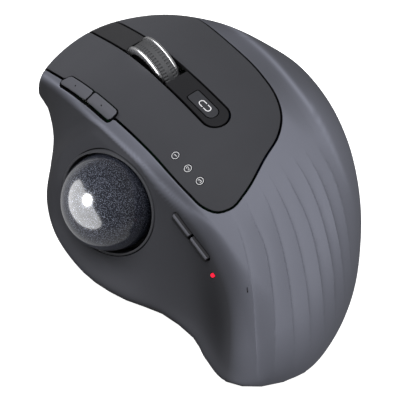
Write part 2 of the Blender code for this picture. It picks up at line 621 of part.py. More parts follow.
# Boards for the thumb buttons and the resolution buttons
THUMB_AT = Vector((-15.3, 42.6, 30.2))
THUMB_ALONG = Vector((0.0, 0.889, -0.457)).normalized()
THUMB_OUT = Vector((-0.45, 0.35, 0.80))
THUMB_OUT = (THUMB_OUT - THUMB_ALONG * THUMB_OUT.dot(THUMB_ALONG)).normalized()
thumb_turn = Matrix((THUMB_ALONG, THUMB_OUT.cross(THUMB_ALONG), THUMB_OUT)).transposed().to_quaternion()
box("thumb_board", (24, 6.5, 1.2), THUMB_AT - THUMB_OUT * 8.6, "board_green", thumb_turn)
micro_switch("switch_forward", (6, 4, 2.6), THUMB_AT + THUMB_ALONG * 7.2 - THUMB_OUT * 6.3, thumb_turn, 0.7)
micro_switch("switch_back", (6, 4, 2.6), THUMB_AT - THUMB_ALONG * 7.2 - THUMB_OUT * 6.3, thumb_turn, 0.7)
box("dpi_board", (22, 6, 1.2), DPI_AT - DPI_OUT * 8.4, "board_green", dpi_turn)
micro_switch("switch_dpi_up", (5, 3.6, 2.4), DPI_AT - DPI_ALONG * 5 - DPI_OUT * 6.2, dpi_turn, 0.6)
micro_switch("switch_dpi_down", (5, 3.6, 2.4), DPI_AT + DPI_ALONG * 5 - DPI_OUT * 6.2, dpi_turn, 0.6)

for name, place in (("forward_button", 7.2), ("back_button", -7.2)):
    stem = rod("join_stem_" + name, 1.1, 2.9, THUMB_AT + THUMB_ALONG * place - THUMB_OUT * 2.5, None, THUMB_OUT, 10)
    boolean(bpy.data.objects[name], stem, "UNION")

# ---------------------------------------------------------------- wheel

X_WAY = (1, 0, 0)


def tube(name, r_out, r_in, half, at, colour, steps=28):
    return turned(name, [(r_out, half), (r_out, -half), (r_in, -half), (r_in, half)], at, colour, X_WAY, steps)


tube("wheel_hub", 9.0, 1.55, 3.4, WHEEL, "black_plastic", 24)
tube("wheel_tyre", 11.7, 9.3, 2.2, WHEEL, "tyre_rubber", 28)
tube("wheel_ring_left", 12.0, 9.3, 0.55, WHEEL - Vector((3.05, 0, 0)), "chrome", 28)
tube("wheel_ring_right", 12.0, 9.3, 0.55, WHEEL + Vector((3.05, 0, 0)), "chrome", 28)
turned("wheel_axle", [(1.5, 8.0), (1.5, -8.0), (0.4, -8.0), (0.4, 8.0)], WHEEL, "steel", X_WAY, 24)

carrier = box("wheel_carrier", (12.4, 9.0, 18.0), WHEEL + Vector((0, 0, -7.0)), "black_plastic")
boolean(carrier, box("cut_carrier", (9.4, 12, 30), WHEEL + Vector((0, 0, 0.6))))
boolean(carrier, rod("cut_axle", 1.56, 24, WHEEL, None, X_WAY, 24))

box("wheel_encoder", (3.8, 9.0, 27.0), (WHEEL.x - 10.3, WHEEL.y, BOARD_TOP + 0.3 + 13.5), "black_plastic")

TURNS, STEPS, COIL_R, WIRE_R = 4, 8, 3.0, 0.4
coil = bpy.data.curves.new("wheel_spring", "CURVE")
coil.dimensions = "3D"
coil.bevel_depth = WIRE_R * MM
coil.bevel_resolution = 0
coil.use_fill_caps = True
line = coil.splines.new("POLY")
line.points.add(TURNS * STEPS)
low, high = BOARD_TOP + 0.3 + WIRE_R, WHEEL.z - 16.0 - 0.3 - WIRE_R
for k, point in enumerate(line.points):
    a = 2 * math.pi * k / STEPS
    point.co = (COIL_R * math.cos(a) * MM, COIL_R * math.sin(a) * MM, (low + (high - low) * k / (TURNS * STEPS)) * MM, 1)
coil.materials.append(look("steel"))
spring = bpy.data.objects.new("wheel_spring", coil)
spring.parent = frame
spring.location = Vector((WHEEL.x, WHEEL.y, 0)) * MM
PARTS.objects.link(spring)

# ---------------------------------------------------------------- underside: power slider and stowed receiver

box("power_slider", (5.0, 3.7, 2.6), SLIDER + Vector((-2.4, 0, 2.05)), "switch_white", None, 0.3)
box("power_switch", (10.0, 4.4, 3.6), SLIDER + Vector((0, 0, 5.6)), "black_plastic", None, 0.3)
box("receiver_body", (14.2, 5.7, 6.0), BAY + Vector((0, 0, 3.75)), "black_plastic", None, 0.5)
plug = box("receiver_plug", (12.0, 4.5, 11.6), BAY + Vector((0, 0, 12.85)), "steel")
boolean(plug, box("cut_plug", (11.2, 1.9, 9.0), BAY + Vector((0, 0.7, 15.5))))
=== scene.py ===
"""The looks of a thumb-operated trackball mouse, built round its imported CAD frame."""

import math

import bmesh
import bpy
import numpy as np
from mathutils import Matrix, Vector


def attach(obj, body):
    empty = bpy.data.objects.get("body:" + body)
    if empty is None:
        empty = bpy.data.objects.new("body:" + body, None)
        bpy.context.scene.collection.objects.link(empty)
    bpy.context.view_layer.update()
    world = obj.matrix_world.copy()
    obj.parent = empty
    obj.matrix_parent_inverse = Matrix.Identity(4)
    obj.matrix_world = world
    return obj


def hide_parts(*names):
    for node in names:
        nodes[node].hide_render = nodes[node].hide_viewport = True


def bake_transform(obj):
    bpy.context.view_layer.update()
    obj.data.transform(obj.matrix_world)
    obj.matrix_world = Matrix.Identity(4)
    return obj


MM = 0.001
SHIFT = np.array((-3.437, 1.226, 0.0))  # from the drawing's origin to the middle of the frame, in mm

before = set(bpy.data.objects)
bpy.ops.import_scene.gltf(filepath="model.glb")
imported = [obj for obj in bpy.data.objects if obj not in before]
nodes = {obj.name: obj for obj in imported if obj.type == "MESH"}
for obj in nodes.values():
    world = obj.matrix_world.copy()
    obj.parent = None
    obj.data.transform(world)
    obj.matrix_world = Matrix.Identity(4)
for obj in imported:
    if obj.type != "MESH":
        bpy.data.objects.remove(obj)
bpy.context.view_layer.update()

# ---------------------------------------------------------------- the drawing, in millimetres

LIP = 3.0  # height of the upper shell's lower edge
KEY_BOTTOM = 9.8  # height of the panel's front edge
OPENING_BOTTOM = 8.4  # height of the shell's edge in front of the panel

# Plan outline, clockwise from above: front left corner first
OUTLINE = [
    (-18.8, 68), (-8.5, 71.5), (6, 71.8), (19, 69), (33, 61.5), (45, 50), (53.2, 35),
    (56.6, 17), (55.4, -2), (50.6, -19), (43, -34), (33, -47.5), (19, -61), (3, -70.5),
    (-13, -74.5), (-28, -69.5), (-36.5, -60.5), (-36.8, -50), (-35.2, -40.5), (-38, -27),
    (-44.5, -15.5), (-48.8, -3.5), (-49.8, 8), (-48, 20.5), (-42.5, 32), (-34, 41),
    (-26, 50), (-20.8, 60),
]
# Reach of the rounded edge at each outline point
ROUND = [
    3, 4, 5.5, 9, 11.5, 13, 11, 10, 11.5, 14, 17, 16, 15, 13, 11, 9, 8, 8, 8, 8, 7, 6, 6, 6, 6, 5, 4, 3,
]
ROUND_POWER = 2.5  # 2 would be a round edge, more is squarer
MIDDLE = np.array((5.0, 0.0))  # where the skin's rings close in plan

# Guide curves, each as (y, value)
CROWN_X = 4.0
CROWN_Z = [
    (75, 13.8), (66, 20.2), (58, 26.4), (48, 33.4), (38, 38.5), (28, 42), (18, 44.8), (8, 46.8),
    (-2, 48.2), (-12, 49), (-22, 48.6), (-32, 47), (-42, 44), (-52, 39.5), (-62, 33.5), (-75, 24),
]
FALL_RIGHT = [(75, 0.0085), (40, 0.0118), (10, 0.0095), (-20, 0.0095), (-50, 0.0105), (-75, 0.011)]
FALL_LEFT = [(75, 0.010), (40, 0.014), (10, 0.012), (-20, 0.010), (-50, 0.012), (-75, 0.013)]
WING_X = [
    (75, -21.5), (66, -21.5), (58, -23), (49.5, -27), (41, -34), (32, -42.5), (20.5, -48),
    (7, -49.8), (-5, -48.5), (-16, -44.5), (-27, -38.5), (-40, -35.3), (-49, -36.5),
    (-58, -37.5), (-68, -34), (-75, -30),
]
CREASE_X = [
    (75, -18), (60, -18.2), (40, -18.6), (0, -18.6), (-15, -18.8), (-28, -18.6),
    (-40, -19.5), (-51, -22), (-60, -25.5), (-75, -30),
]
CREASE_Z = [
    (75, 12), (62, 18.5), (44, 27), (23, 34.5), (2, 39.2), (-15, 40), (-26, 38), (-39, 33),
    (-51, 25), (-60, 18), (-75, 8),
]
WING_Z = [(75, 6), (40, 6), (5, 6), (-10, 6.5), (-25, 6.5), (-40, 5.5), (-55, 5), (-75, 4)]
SCOOP_POWER = [
    (75, 1.1), (30, 1.25), (15, 1.45), (0, 1.6), (-15, 1.7), (-30, 1.7), (-45, 1.8), (-60, 1.4),
    (-75, 1.2),
]
SCOOP_OVER = 1.15  # how fast the scoop's surface would go on rising past the crease
SCOOP_NARROW = 2.5  # least width the scoop is drawn over
CREASE_BLEND = [(75, 1.2), (0, 1.2), (-20, 1.6), (-34, 4.0), (-48, 8.0), (-60, 9.0), (-75, 9.0)]
WING_LOW = 5.4  # the thumb side goes no lower, and meets that height softly
WING_BLEND = 2.0
FLAT_EDGE = 1.06  # the flat round the ball and where its effect ends, as shares of the bezel's oval
FLAT_DIES = 2.1

# The lit band between the panel and the crease: it falls away faster than the crown
BAND_X = -16.2
BAND_WIDE = 3.0
BAND_FADE = 4.0
BAND_SOFT = 0.8
BAND_FALL = [(75, 0.25), (50, 0.4), (0, 0.42), (-20, 0.36), (-34, 0.15), (-46, 0.0), (-75, 0.0)]

# Crest lines of the palm's ribs, each from front to rear, with a hollow between each two
RIBS = [
    [(-9, -28), (-10.9, -35), (-14.5, -44), (-18.8, -52.7), (-23.3, -59.7), (-30, -70)],
    [(-2.5, -26), (-4.9, -35), (-7, -43.6), (-12.2, -54.1), (-16.9, -61.8), (-24.5, -72)],
    [(3.6, -24), (3.1, -30.2), (0, -40.6), (-3.8, -50.3), (-10, -62.2), (-17, -73)],
    [(9, -24), (7.5, -32.8), (4.8, -43.7), (0.4, -54.8), (-5, -65.1), (-10.8, -74)],
    [(14.5, -24), (12.8, -33.6), (9.8, -46.6), (3.4, -60.9), (-1.4, -69.5), (-4, -74)],
    [(20.2, -24), (18.9, -33.6), (13.1, -51.8), (7.5, -63.5), (3.3, -69.9), (1, -74)],
    [(25.6, -24), (23.3, -35.7), (18.1, -50.9), (12.7, -62.3), (8.5, -69), (6, -74)],
    [(31, -24), (28.5, -37), (23.5, -50), (19.0, -58.5), (14, -67), (11, -74)],
    [(37, -24), (34.5, -37), (30, -50), (25, -58.5), (19, -67), (16, -74)],
]
RIB_DEEP = [(-25, 0.0), (-30, 0.3), (-38, 1.1), (-46, 1.35), (-60, 1.3), (-70, 1.1), (-80, 0.7)]  # by y
RIB_SHARES = [0.9, 1.0, 0.9, 0.9, 1.0, 1.0, 0.9, 0.7]  # of that depth, for each hollow
RIB_SKEW = 0.62  # below 1, so that each hollow is steeper on its left
RIB_LEAN = 0.04  # the ribs begin further forward on the right
RIB_NARROW = 0.5  # least width between two ribs

# The soft crest along the right shoulder, each as (y, value)
SHOULDER_X = [
    (60, 42), (46, 45.2), (31.9, 44.8), (15.9, 43.3), (2.8, 41.6), (-9.5, 39.8), (-21.5, 37.5),
    (-32.8, 34.8), (-40.7, 32.6), (-55, 27),
]
SHOULDER_HIGH = [(64, 0.0), (52, 0.5), (34, 1.0), (0, 1.15), (-16, 1.1), (-32, 0.8), (-48, 0.0)]
SHOULDER_LEFT = 4.5  # reach of the crest to either side
SHOULDER_RIGHT = 9.0

# The ball and its oval bezel
BALL = np.array((-30.9, 10.5, 20.5))
BALL_R = 17.0
RING_NORMAL = Vector((-0.81, -0.14, 0.57)).normalized()
RING_OUT = 1.9  # height of the bezel's plane over the ball's middle
RING_BACK = 0.35  # how far the bezel's middle lies behind the ball's
RING_LONG = 19.2
RING_SHORT = 18.4
RING_CLEAR = 0.3  # gap between the shell's opening and the bezel
LONG_WAY = Vector((0, 0, 1)).cross(RING_NORMAL).normalized()
LONG_WAY = LONG_WAY if LONG_WAY.y > 0 else -LONG_WAY
SHORT_WAY = RING_NORMAL.cross(LONG_WAY)
SHORT_WAY = SHORT_WAY if SHORT_WAY.z > 0 else -SHORT_WAY
RING_AT = Vector(BALL) + RING_NORMAL * RING_OUT - LONG_WAY * RING_BACK

# Top panel and centre strip, in plan
PANEL = [
    (-15.4, 90), (-15.4, 40), (-15.4, 8), (-15.8, -14), (-15.2, -20.5), (-12.6, -25.4), (-8, -27.4),
    (-2, -26.3), (12, -20), (21, -15.6), (27.5, -9.5), (32, -1), (34.6, 11), (36, 26), (37, 44), (40, 90),
]
STRIP_X = 9.0
STRIP_HALF = 4.7
STRIP_END = -1.2
SLOT_REAR = 25.0
SLOT_FRONT = 48.6
SEAM = 0.38  # half of the gap between two skins

# Thumb buttons and pairing button, in plan
FORWARD = [(-17.4, 42.35), (-13.5, 42.35), (-13.5, 55.4), (-17.4, 57.6)]
BACK = [(-17.3, 28.6), (-13.4, 28.6), (-13.4, 41.6), (-17.3, 41.6)]
THUMB_CLEAR = 0.6  # gap round the thumb buttons in the shell, and in the panel that sinks beside them
THUMB_CLEAR_PANEL = 0.65
PAIR = [(6.4, 3.0), (11.2, 3.0), (11.2, 15.7), (6.4, 15.7)]
PAIR_CLEAR = 0.3
WHEEL = np.array((9.25, 36.5, 30.8))

# Resolution buttons
DPI_AT = Vector((-21.6, -22.0, 32.6))
DPI_ALONG = Vector((0.0, -0.97, -0.24)).normalized()
DPI_OUT = Vector((-0.80, -0.14, 0.58))
DPI_OUT = (DPI_OUT - DPI_ALONG * DPI_OUT.dot(DPI_ALONG)).normalized()
DPI_SIDE = DPI_OUT.cross(DPI_ALONG)
DPI_LIGHT_AT = Vector((-22.3, -35.2, 25.6))
DPI_LIGHT_HOLE = 1.0

# Device signs on the panel, and the charging port
MARKS = ((-10.5, 0.2), (-10.5, -6.6), (-10.4, -13.0))
MARK_R = 1.45
MARK_GAP = 0.08
USB_AT = (STRIP_X, 66.5, 5.75)


def along(table, y):
    """A smooth value read off a short guide table at y."""
    rows = sorted(table)
    ys = np.array([row[0] for row in rows], float)
    vs = np.array([row[1] for row in rows], float)
    slopes = np.gradient(vs, ys)
    i = np.clip(np.searchsorted(ys, y) - 1, 0, len(ys) - 2)
    h = ys[i + 1] - ys[i]
    t = np.clip((y - ys[i]) / h, 0, 1)
    a = (1 + 2 * t) * (1 - t) ** 2
    b = t * (1 - t) ** 2
    c = t * t * (3 - 2 * t)
    d = t * t * (t - 1)
    return a * vs[i] + b * h * slopes[i] + c * vs[i + 1] + d * h * slopes[i + 1]


def closed_curve(points, per):
    """Catmull-Rom curve through a closed list of points; any number of columns."""
    p = np.array(points, float).reshape(len(points), -1)
    before, after, further = np.roll(p, 1, 0), np.roll(p, -1, 0), np.roll(p, -2, 0)
    rows = []
    for t in np.linspace(0, 1, per, endpoint=False):
        linear = 2 * p + (after - before) * t
        square = (2 * before - 5 * p + 4 * after - further) * t ** 2
        cube = (3 * p - before - 3 * after + further) * t ** 3
        rows.append(0.5 * (linear + square + cube))
    return np.stack(rows, 1).reshape(len(p) * per, -1)


def smooth_line(points, count):
    """A smooth open line through plan points, by their distance along it."""
    p = np.array(points, float)
    run = np.concatenate([[0], np.cumsum(np.linalg.norm(np.diff(p, axis=0), axis=1))])
    at = np.linspace(0, run[-1], count)
    return np.column_stack([along(list(zip(run, p[:, k])), at) for k in range(p.shape[1])])


def smooth_min(a, b, k):
    h = np.clip(0.5 + 0.5 * (b - a) / k, 0, 1)
    return b * (1 - h) + a * h - k * h * (1 - h)


def smooth_step(t):
    t = np.clip(t, 0, 1)
    return t * t * (3 - 2 * t)


def crown(x, y):
    dx = x - CROWN_X
    fall = np.where(dx > 0, along(FALL_RIGHT, y), along(FALL_LEFT, y))
    beyond = np.maximum(BAND_X - x, 0)
    fade = 1 - smooth_step((beyond - BAND_WIDE) / BAND_FADE)
    band = along(BAND_FALL, y) * beyond * beyond / (beyond + BAND_SOFT) * fade
    return along(CROWN_Z, y) - fall * dx ** 2 - band


def scoop(x, y):
    """Thumb side: rises from the wing to the crease."""
    x_wing, x_crease = along(WING_X, y), along(CREASE_X, y)
    t = np.clip((x - x_wing) / np.maximum(x_crease - x_wing, SCOOP_NARROW), 0, None)
    power = along(SCOOP_POWER, y)
    rise = np.where(t < 1, t ** power, 1 + power * (t - 1) * SCOOP_OVER)
    return along(WING_Z, y) + (along(CREASE_Z, y) - along(WING_Z, y)) * rise


def bezel_plane(x, y):
    n = RING_NORMAL
    return RING_AT.z - (n.x * (x - RING_AT.x) + n.y * (y - RING_AT.y)) / n.z


def thumb_side(x, y):
    """The thumb side with the flat round the ball, whose effect dies away outside it."""
    q = np.stack([x - RING_AT.x, y - RING_AT.y, bezel_plane(x, y) - RING_AT.z], -1)
    far = np.hypot(q @ np.array(LONG_WAY) / RING_LONG, q @ np.array(SHORT_WAY) / RING_SHORT)
    back = FLAT_EDGE / np.maximum(far, FLAT_EDGE)
    edge_x, edge_y = RING_AT.x + (x - RING_AT.x) * back, RING_AT.y + (y - RING_AT.y) * back
    adds = bezel_plane(edge_x, edge_y) - scoop(edge_x, edge_y)
    out = scoop(x, y) + adds * smooth_step((FLAT_DIES - far) / (FLAT_DIES - FLAT_EDGE))
    z = np.where(far < FLAT_EDGE, bezel_plane(x, y), out)
    return -smooth_min(-z, np.full_like(z, -WING_LOW), WING_BLEND)


def rib_line(k, y):
    return along([(point[1], point[0]) for point in RIBS[k]], y)


def rib_place(x, y):
    """Where a point lies across the ribs: 0 on the first crest line, 1 on the second, and so on."""
    lines = [rib_line(k, y) for k in range(len(RIBS))]
    place = np.full(np.shape(x), -1.0)
    for k in range(len(RIBS) - 1):
        share = (x - lines[k]) / np.maximum(lines[k + 1] - lines[k], RIB_NARROW)
        place = np.where((share >= 0) & (share < 1), k + share, place)
    return place


def ribs(x, y):
    """The hollows between the crest lines, 0 on the lines themselves."""
    place = rib_place(x, y)
    k = np.clip(np.floor(place).astype(int), 0, len(RIB_SHARES) - 1)
    deep = along(RIB_DEEP, y - RIB_LEAN * (x - RIBS[0][0][0])) * np.array(RIB_SHARES)[k]
    u = np.clip(place - k, 0, 1) ** RIB_SKEW
    return np.where(place < 0, 0.0, -4 * u * (1 - u) * deep)


def shoulder(x, y):
    """A soft crest: steep on its left, long on its right."""
    past = x - along(SHOULDER_X, y)
    left, right = smooth_step(1 + past / SHOULDER_LEFT), 1 - smooth_step(past / SHOULDER_RIGHT)
    return along(SHOULDER_HIGH, y) * left * right


def height(x, y):
    """Top surface away from the rounded edge."""
    side = smooth_min(crown(x, y), thumb_side(x, y), along(CREASE_BLEND, y))
    return side + ribs(x, y) + shoulder(x, y)


def height_at(x, y):
    return float(height(np.array([float(x)]), np.array([float(y)]))[0])


# ---------------------------------------------------------------- sheets: (x, y, lift) rows, triangles

SNAP = 0.015  # a point this near a cutting line counts as on it
PER = 14  # points of the skin's edge for each outline point
EDGE_RINGS = 27
TOP_RINGS = 56


def surface(rows):
    """The point in space of each (x, y, lift) row: lift 1 is on the top surface, 0 at the lip."""
    z = LIP + (height(rows[:, 0], rows[:, 1]) - LIP) * rows[:, 2]
    return np.column_stack([rows[:, :2], z])


def split(rows, tris, values, keep=False):
    """Splits triangles where the values pass through 0, and can keep only what lies above 0."""
    values = np.where(np.abs(values) < SNAP, 0.0, values)
    side = np.sign(values)[tris]
    crossing = (side.max(1) > 0) & (side.min(1) < 0)
    cut, signs = tris[crossing], side[crossing]
    has_zero = (signs == 0).any(1)
    odd = np.where(has_zero, np.argmin(np.abs(signs), 1), np.argmax(signs == -signs.sum(1)[:, None], 1))
    cut = np.take_along_axis(cut, (odd[:, None] + np.arange(3)) % 3, 1)
    a, b, c = cut[:, 0], cut[:, 1], cut[:, 2]
    first = np.where(has_zero[:, None], np.stack([b, c], 1), np.stack([a, b], 1))
    second = np.where(has_zero[:, None], np.stack([b, c], 1), np.stack([a, c], 1))
    edges = np.sort(np.concatenate([first, second]), 1)
    made, index = np.unique(edges, axis=0, return_inverse=True)
    index = index.reshape(-1) + len(rows)
    m, n = index[: len(cut)], index[len(cut):]
    low, high = values[made[:, 0]], values[made[:, 1]]
    t = (low / np.where(low == high, 1.0, low - high))[:, None]
    rows = np.concatenate([rows, rows[made[:, 0]] * (1 - t) + rows[made[:, 1]] * t])
    values = np.concatenate([values, np.zeros(len(made))])
    z, s = has_zero, ~has_zero
    new = [
        np.stack([a[z], b[z], m[z]], 1), np.stack([a[z], m[z], c[z]], 1),
        np.stack([a[s], m[s], n[s]], 1), np.stack([m[s], b[s], c[s]], 1), np.stack([m[s], c[s], n[s]], 1),
    ]
    tris = np.concatenate([tris[~crossing]] + new)
    if keep:
        tris = tris[values[tris].sum(1) > 0]
        used, flat = np.unique(tris, return_inverse=True)
        return rows[used], flat.reshape(-1, 3)
    return rows, tris


def whole_skin():
    """The outer skin from the lip up the rounded edge and in to the middle."""
    edge = closed_curve(OUTLINE, PER)
    reach = closed_curve(ROUND, PER)[:, 0]
    tangent = np.roll(edge, -1, 0) - np.roll(edge, 1, 0)
    tangent /= np.linalg.norm(tangent, axis=1)[:, None]
    inward = np.stack([tangent[:, 1], -tangent[:, 0]], 1)
    rings = []
    for share in np.linspace(0, 1, EDGE_RINGS):
        phi = math.radians(90 * share ** 1.5)
        flat = edge + inward * (reach * (1 - math.cos(phi) ** (2 / ROUND_POWER)))[:, None]
        rings.append(np.column_stack([flat, np.full(len(flat), math.sin(phi) ** (2 / ROUND_POWER))]))
    last = rings[-1][:, :2]
    for share in np.linspace(1, 0, TOP_RINGS + 2)[1:-1]:
        flat = MIDDLE + share * (last - MIDDLE)
        rings.append(np.column_stack([flat, np.ones(len(flat))]))
    count = len(edge)
    rows = np.concatenate(rings + [np.array([[*MIDDLE, 1.0]])])
    tris = []
    k = np.arange(count)
    following = (k + 1) % count
    for i in range(len(rings) - 1):
        low, high = i * count, (i + 1) * count
        tris.append(np.stack([low + following, low + k, high + k], 1))
        tris.append(np.stack([low + following, high + k, high + following], 1))
    low = (len(rings) - 1) * count
    tris.append(np.stack([low + following, low + k, np.full(count, len(rows) - 1)], 1))
    return rows, np.concatenate(tris)


FAR = 5.0  # distances from an outline aren't measured further out than this
REACH = 8.0  # an opening drawn in a tilted frame counts only this near its plane


def distance(points, outline):
    """Signed distance of plan points to a closed outline, positive inside."""
    a = np.array(outline, float)
    b = np.roll(a, -1, 0)
    ab = b - a
    rise = np.where(ab[:, 1] == 0, 1.0, ab[:, 1])
    near = ((points[:, :2] > a.min(0) - FAR) & (points[:, :2] < a.max(0) + FAR)).all(1)
    found = np.full(len(points), -FAR)
    which = np.flatnonzero(near)
    for block in np.array_split(which, len(which) // 4000 + 1):
        p = points[block][:, None, :2]
        ap = p - a
        t = np.clip((ap * ab).sum(-1) / (ab ** 2).sum(-1), 0, 1)
        away = np.sqrt(((ap - ab * t[..., None]) ** 2).sum(-1)).min(1)
        above = (a[:, 1] > p[..., 1]) != (b[:, 1] > p[..., 1])
        crosses = above & (p[..., 0] < a[:, 0] + ap[..., 1] * ab[:, 0] / rise)
        found[block] = np.where(crosses.sum(1) % 2 == 1, away, -away)
    return found


def rounded(corners, radii, steps=6):
    """A plan polygon with its corners rounded, each by its own radius."""
    p = [Vector(c) for c in corners]
    radii = radii if isinstance(radii, (list, tuple)) else [radii] * len(p)
    points = []
    for i, r in enumerate(radii):
        if not r:
            points.append(tuple(p[i]))
            continue
        back, on = (p[i - 1] - p[i]).normalized(), (p[(i + 1) % len(p)] - p[i]).normalized()
        half = back.angle(on) / 2
        centre = p[i] + (back + on).normalized() * (r / math.sin(half))
        start, end = p[i] + back * (r / math.tan(half)), p[i] + on * (r / math.tan(half))
        for k in range(steps + 1):
            points.append(tuple(centre + (start - centre).slerp(end - centre, k / steps).normalized() * r))
    return points


def oval(a, b, steps):
    turns = [2 * math.pi * k / steps for k in range(steps)]
    return [(a * math.cos(turn), b * math.sin(turn)) for turn in turns]


PANEL_PLAN = smooth_line(PANEL, 150)
STRIP_CORNERS = [
    (5.4, 90), (4.8, 35), (4.3, 5), (STRIP_X - STRIP_HALF, STRIP_END),
    (STRIP_X + STRIP_HALF, STRIP_END), (STRIP_X + STRIP_HALF, 90),
]
STRIP_PLAN = rounded(STRIP_CORNERS, [0, 0, 0, STRIP_HALF - 0.01, STRIP_HALF - 0.01, 0], 14)
FORWARD_PLAN = rounded(FORWARD, [0.5, 0.5, 1.5, 0.9])
BACK_PLAN = rounded(BACK, [1.3, 1.1, 0.5, 0.5])
PAIR_PLAN = rounded(PAIR, [2.2, 2.2, 0.6, 0.6])
SLOT_PLAN = rounded([(-10.1, -1.75), (10.1, -1.75), (10.1, 1.75), (-10.1, 1.75)], 1.6)
USB_PLAN = rounded([(-4.9, -2.0), (4.9, -2.0), (4.9, 2.0), (-4.9, 2.0)], 1.9)


def panel_field(p):
    return distance(p, PANEL_PLAN)


def strip_field(p):
    return distance(p, STRIP_PLAN)


def in_frame(p, at, across, up, out):
    """Points seen in a tilted frame: across, up and out of it."""
    q = p - np.array(at)
    return np.column_stack([q @ np.array(across), q @ np.array(up), q @ np.array(out)])


def bezel_field(p):
    q = in_frame(p, RING_AT, LONG_WAY, SHORT_WAY, RING_NORMAL)
    far = np.hypot(q[:, 0] / (RING_LONG + RING_CLEAR), q[:, 1] / (RING_SHORT + RING_CLEAR))
    return np.where(np.abs(q[:, 2]) < REACH, (1 - far) * RING_SHORT, -FAR)


def dpi_field(p):
    q = in_frame(p, DPI_AT, DPI_ALONG, DPI_SIDE, DPI_OUT)
    return np.where(np.abs(q[:, 2]) < REACH, distance(q, SLOT_PLAN), -FAR)


def dpi_light_field(p):
    q = in_frame(p, DPI_LIGHT_AT, DPI_ALONG, DPI_SIDE, DPI_OUT)
    return np.where(np.abs(q[:, 2]) < REACH, DPI_LIGHT_HOLE - np.hypot(q[:, 0], q[:, 1]), -FAR)


def usb_field(p):
    q = np.column_stack([p[:, 0] - USB_AT[0], p[:, 2] - USB_AT[2]])
    return np.where(p[:, 1] > USB_AT[1] - REACH, distance(q, USB_PLAN), -FAR)


def openings(p):
    """How far inside an opening of the upper shell each point is."""
    found = [
        np.minimum(panel_field(p) + SEAM, p[:, 2] - OPENING_BOTTOM),
        distance(p, FORWARD_PLAN) + THUMB_CLEAR, distance(p, BACK_PLAN) + THUMB_CLEAR,
        bezel_field(p), dpi_field(p), dpi_light_field(p), usb_field(p),
    ]
    return np.max(found, 0)


# ---------------------------------------------------------------- making pieces


def new_piece(name, points, faces, material, smooth=38, lining=None, lined_from=0):
    """A mesh piece from points in drawing millimetres; faces from lined_from on take the lining."""
    mesh = bpy.data.meshes.new(name)
    places = (np.asarray(points, float) + SHIFT) * MM
    mesh.from_pydata(places.tolist(), [], [list(map(int, f)) for f in faces])
    mesh.materials.append(material)
    if lining:
        mesh.materials.append(lining)
        lined = [int(k >= lined_from) for k in range(len(faces))]
        mesh.polygons.foreach_set("material_index", lined)
    mesh.shade_smooth()
    mesh.set_sharp_from_angle(angle=math.radians(smooth))
    mesh.update()
    obj = bpy.data.objects.new(name, mesh)
    bpy.context.scene.collection.objects.link(obj)
    return obj


ROLL_LEVELS = (4 / 35, 12 / 35, 22 / 35, 36 / 35, 55 / 35)  # shares of the roll where its mesh is cut


def sheet_piece(name, rows, tris, field, material, roll=0.22, thick=1.8, proud=0.0):
    """A solid skin: the sheet, its edge rolled over where the field is near 0, an inside and walls."""
    for level in ROLL_LEVELS:
        rows, tris = split(rows, tris, field(surface(rows)) - level * roll)
    points = surface(rows)
    depth = field(points)
    normal = np.zeros_like(points)
    facing = np.cross(points[tris[:, 1]] - points[tris[:, 0]], points[tris[:, 2]] - points[tris[:, 0]])
    for k in range(3):
        np.add.at(normal, tris[:, k], facing)
    normal /= np.maximum(np.linalg.norm(normal, axis=1), 1e-9)[:, None]
    short = np.clip(roll - depth, 0, roll)
    sunk = roll - np.sqrt(np.maximum(roll ** 2 - short ** 2, 0))
    outer = points - normal * sunk[:, None] + np.array((0, 0, proud))
    inner = points - normal * thick
    inner[:, 2] = np.where(rows[:, 2] < 0.01, outer[:, 2], inner[:, 2])
    count = len(points)
    ends = np.concatenate([tris[:, [0, 1]], tris[:, [1, 2]], tris[:, [2, 0]]])
    _, index, times = np.unique(np.sort(ends, 1), axis=0, return_inverse=True, return_counts=True)
    rim = ends[times[index.reshape(-1)] == 1]
    walls = np.concatenate([
        np.stack([rim[:, 1], rim[:, 0], rim[:, 0] + count], 1),
        np.stack([rim[:, 1], rim[:, 0] + count, rim[:, 1] + count], 1),
    ])
    faces = np.concatenate([tris, tris[:, ::-1] + count, walls])
    points = np.concatenate([outer, inner])
    return new_piece(name, points, faces, material, lining=BLACK, lined_from=len(tris))


def ribbon(points, width, high, closed):
    """A flat printed line in its own plane: points and faces of a strip with a little thickness."""
    p = np.array(points, float)
    ahead = np.roll(p, -1, 0) - np.roll(p, 1, 0)
    if not closed:
        ahead[0], ahead[-1] = p[1] - p[0], p[-1] - p[-2]
    ahead /= np.linalg.norm(ahead, axis=1)[:, None]
    side = np.stack([-ahead[:, 1], ahead[:, 0]], 1) * width / 2
    flat = np.concatenate([p + side, p - side])
    count = len(p)
    verts = np.concatenate([np.column_stack([flat, np.full(2 * count, z)]) for z in (high, -high)])
    faces = []
    for k in range(count if closed else count - 1):
        n = (k + 1) % count
        a, b, c, d = k, n, count + n, count + k
        e, f, g, h = (v + 2 * count for v in (a, b, c, d))
        faces += [(d, c, b, a), (e, f, g, h), (a, b, f, e), (c, d, h, g)]
    if not closed:
        m = count - 1
        faces += [(0, 2 * count, 3 * count, count), (m, count + m, 3 * count + m, 2 * count + m)]
    return verts, faces


def swept(profile, place, steps):
    """A closed profile carried round a loop: place(profile point, step) gives the point in space."""
    points = [place(p, k) for k in range(steps) for p in profile]
    n = len(profile)
    faces = []
    for k in range(steps):
        for i in range(n):
            j, m = (i + 1) % n, (k + 1) % steps
            faces.append((k * n + i, k * n + j, m * n + j, m * n + i))
    return points, faces


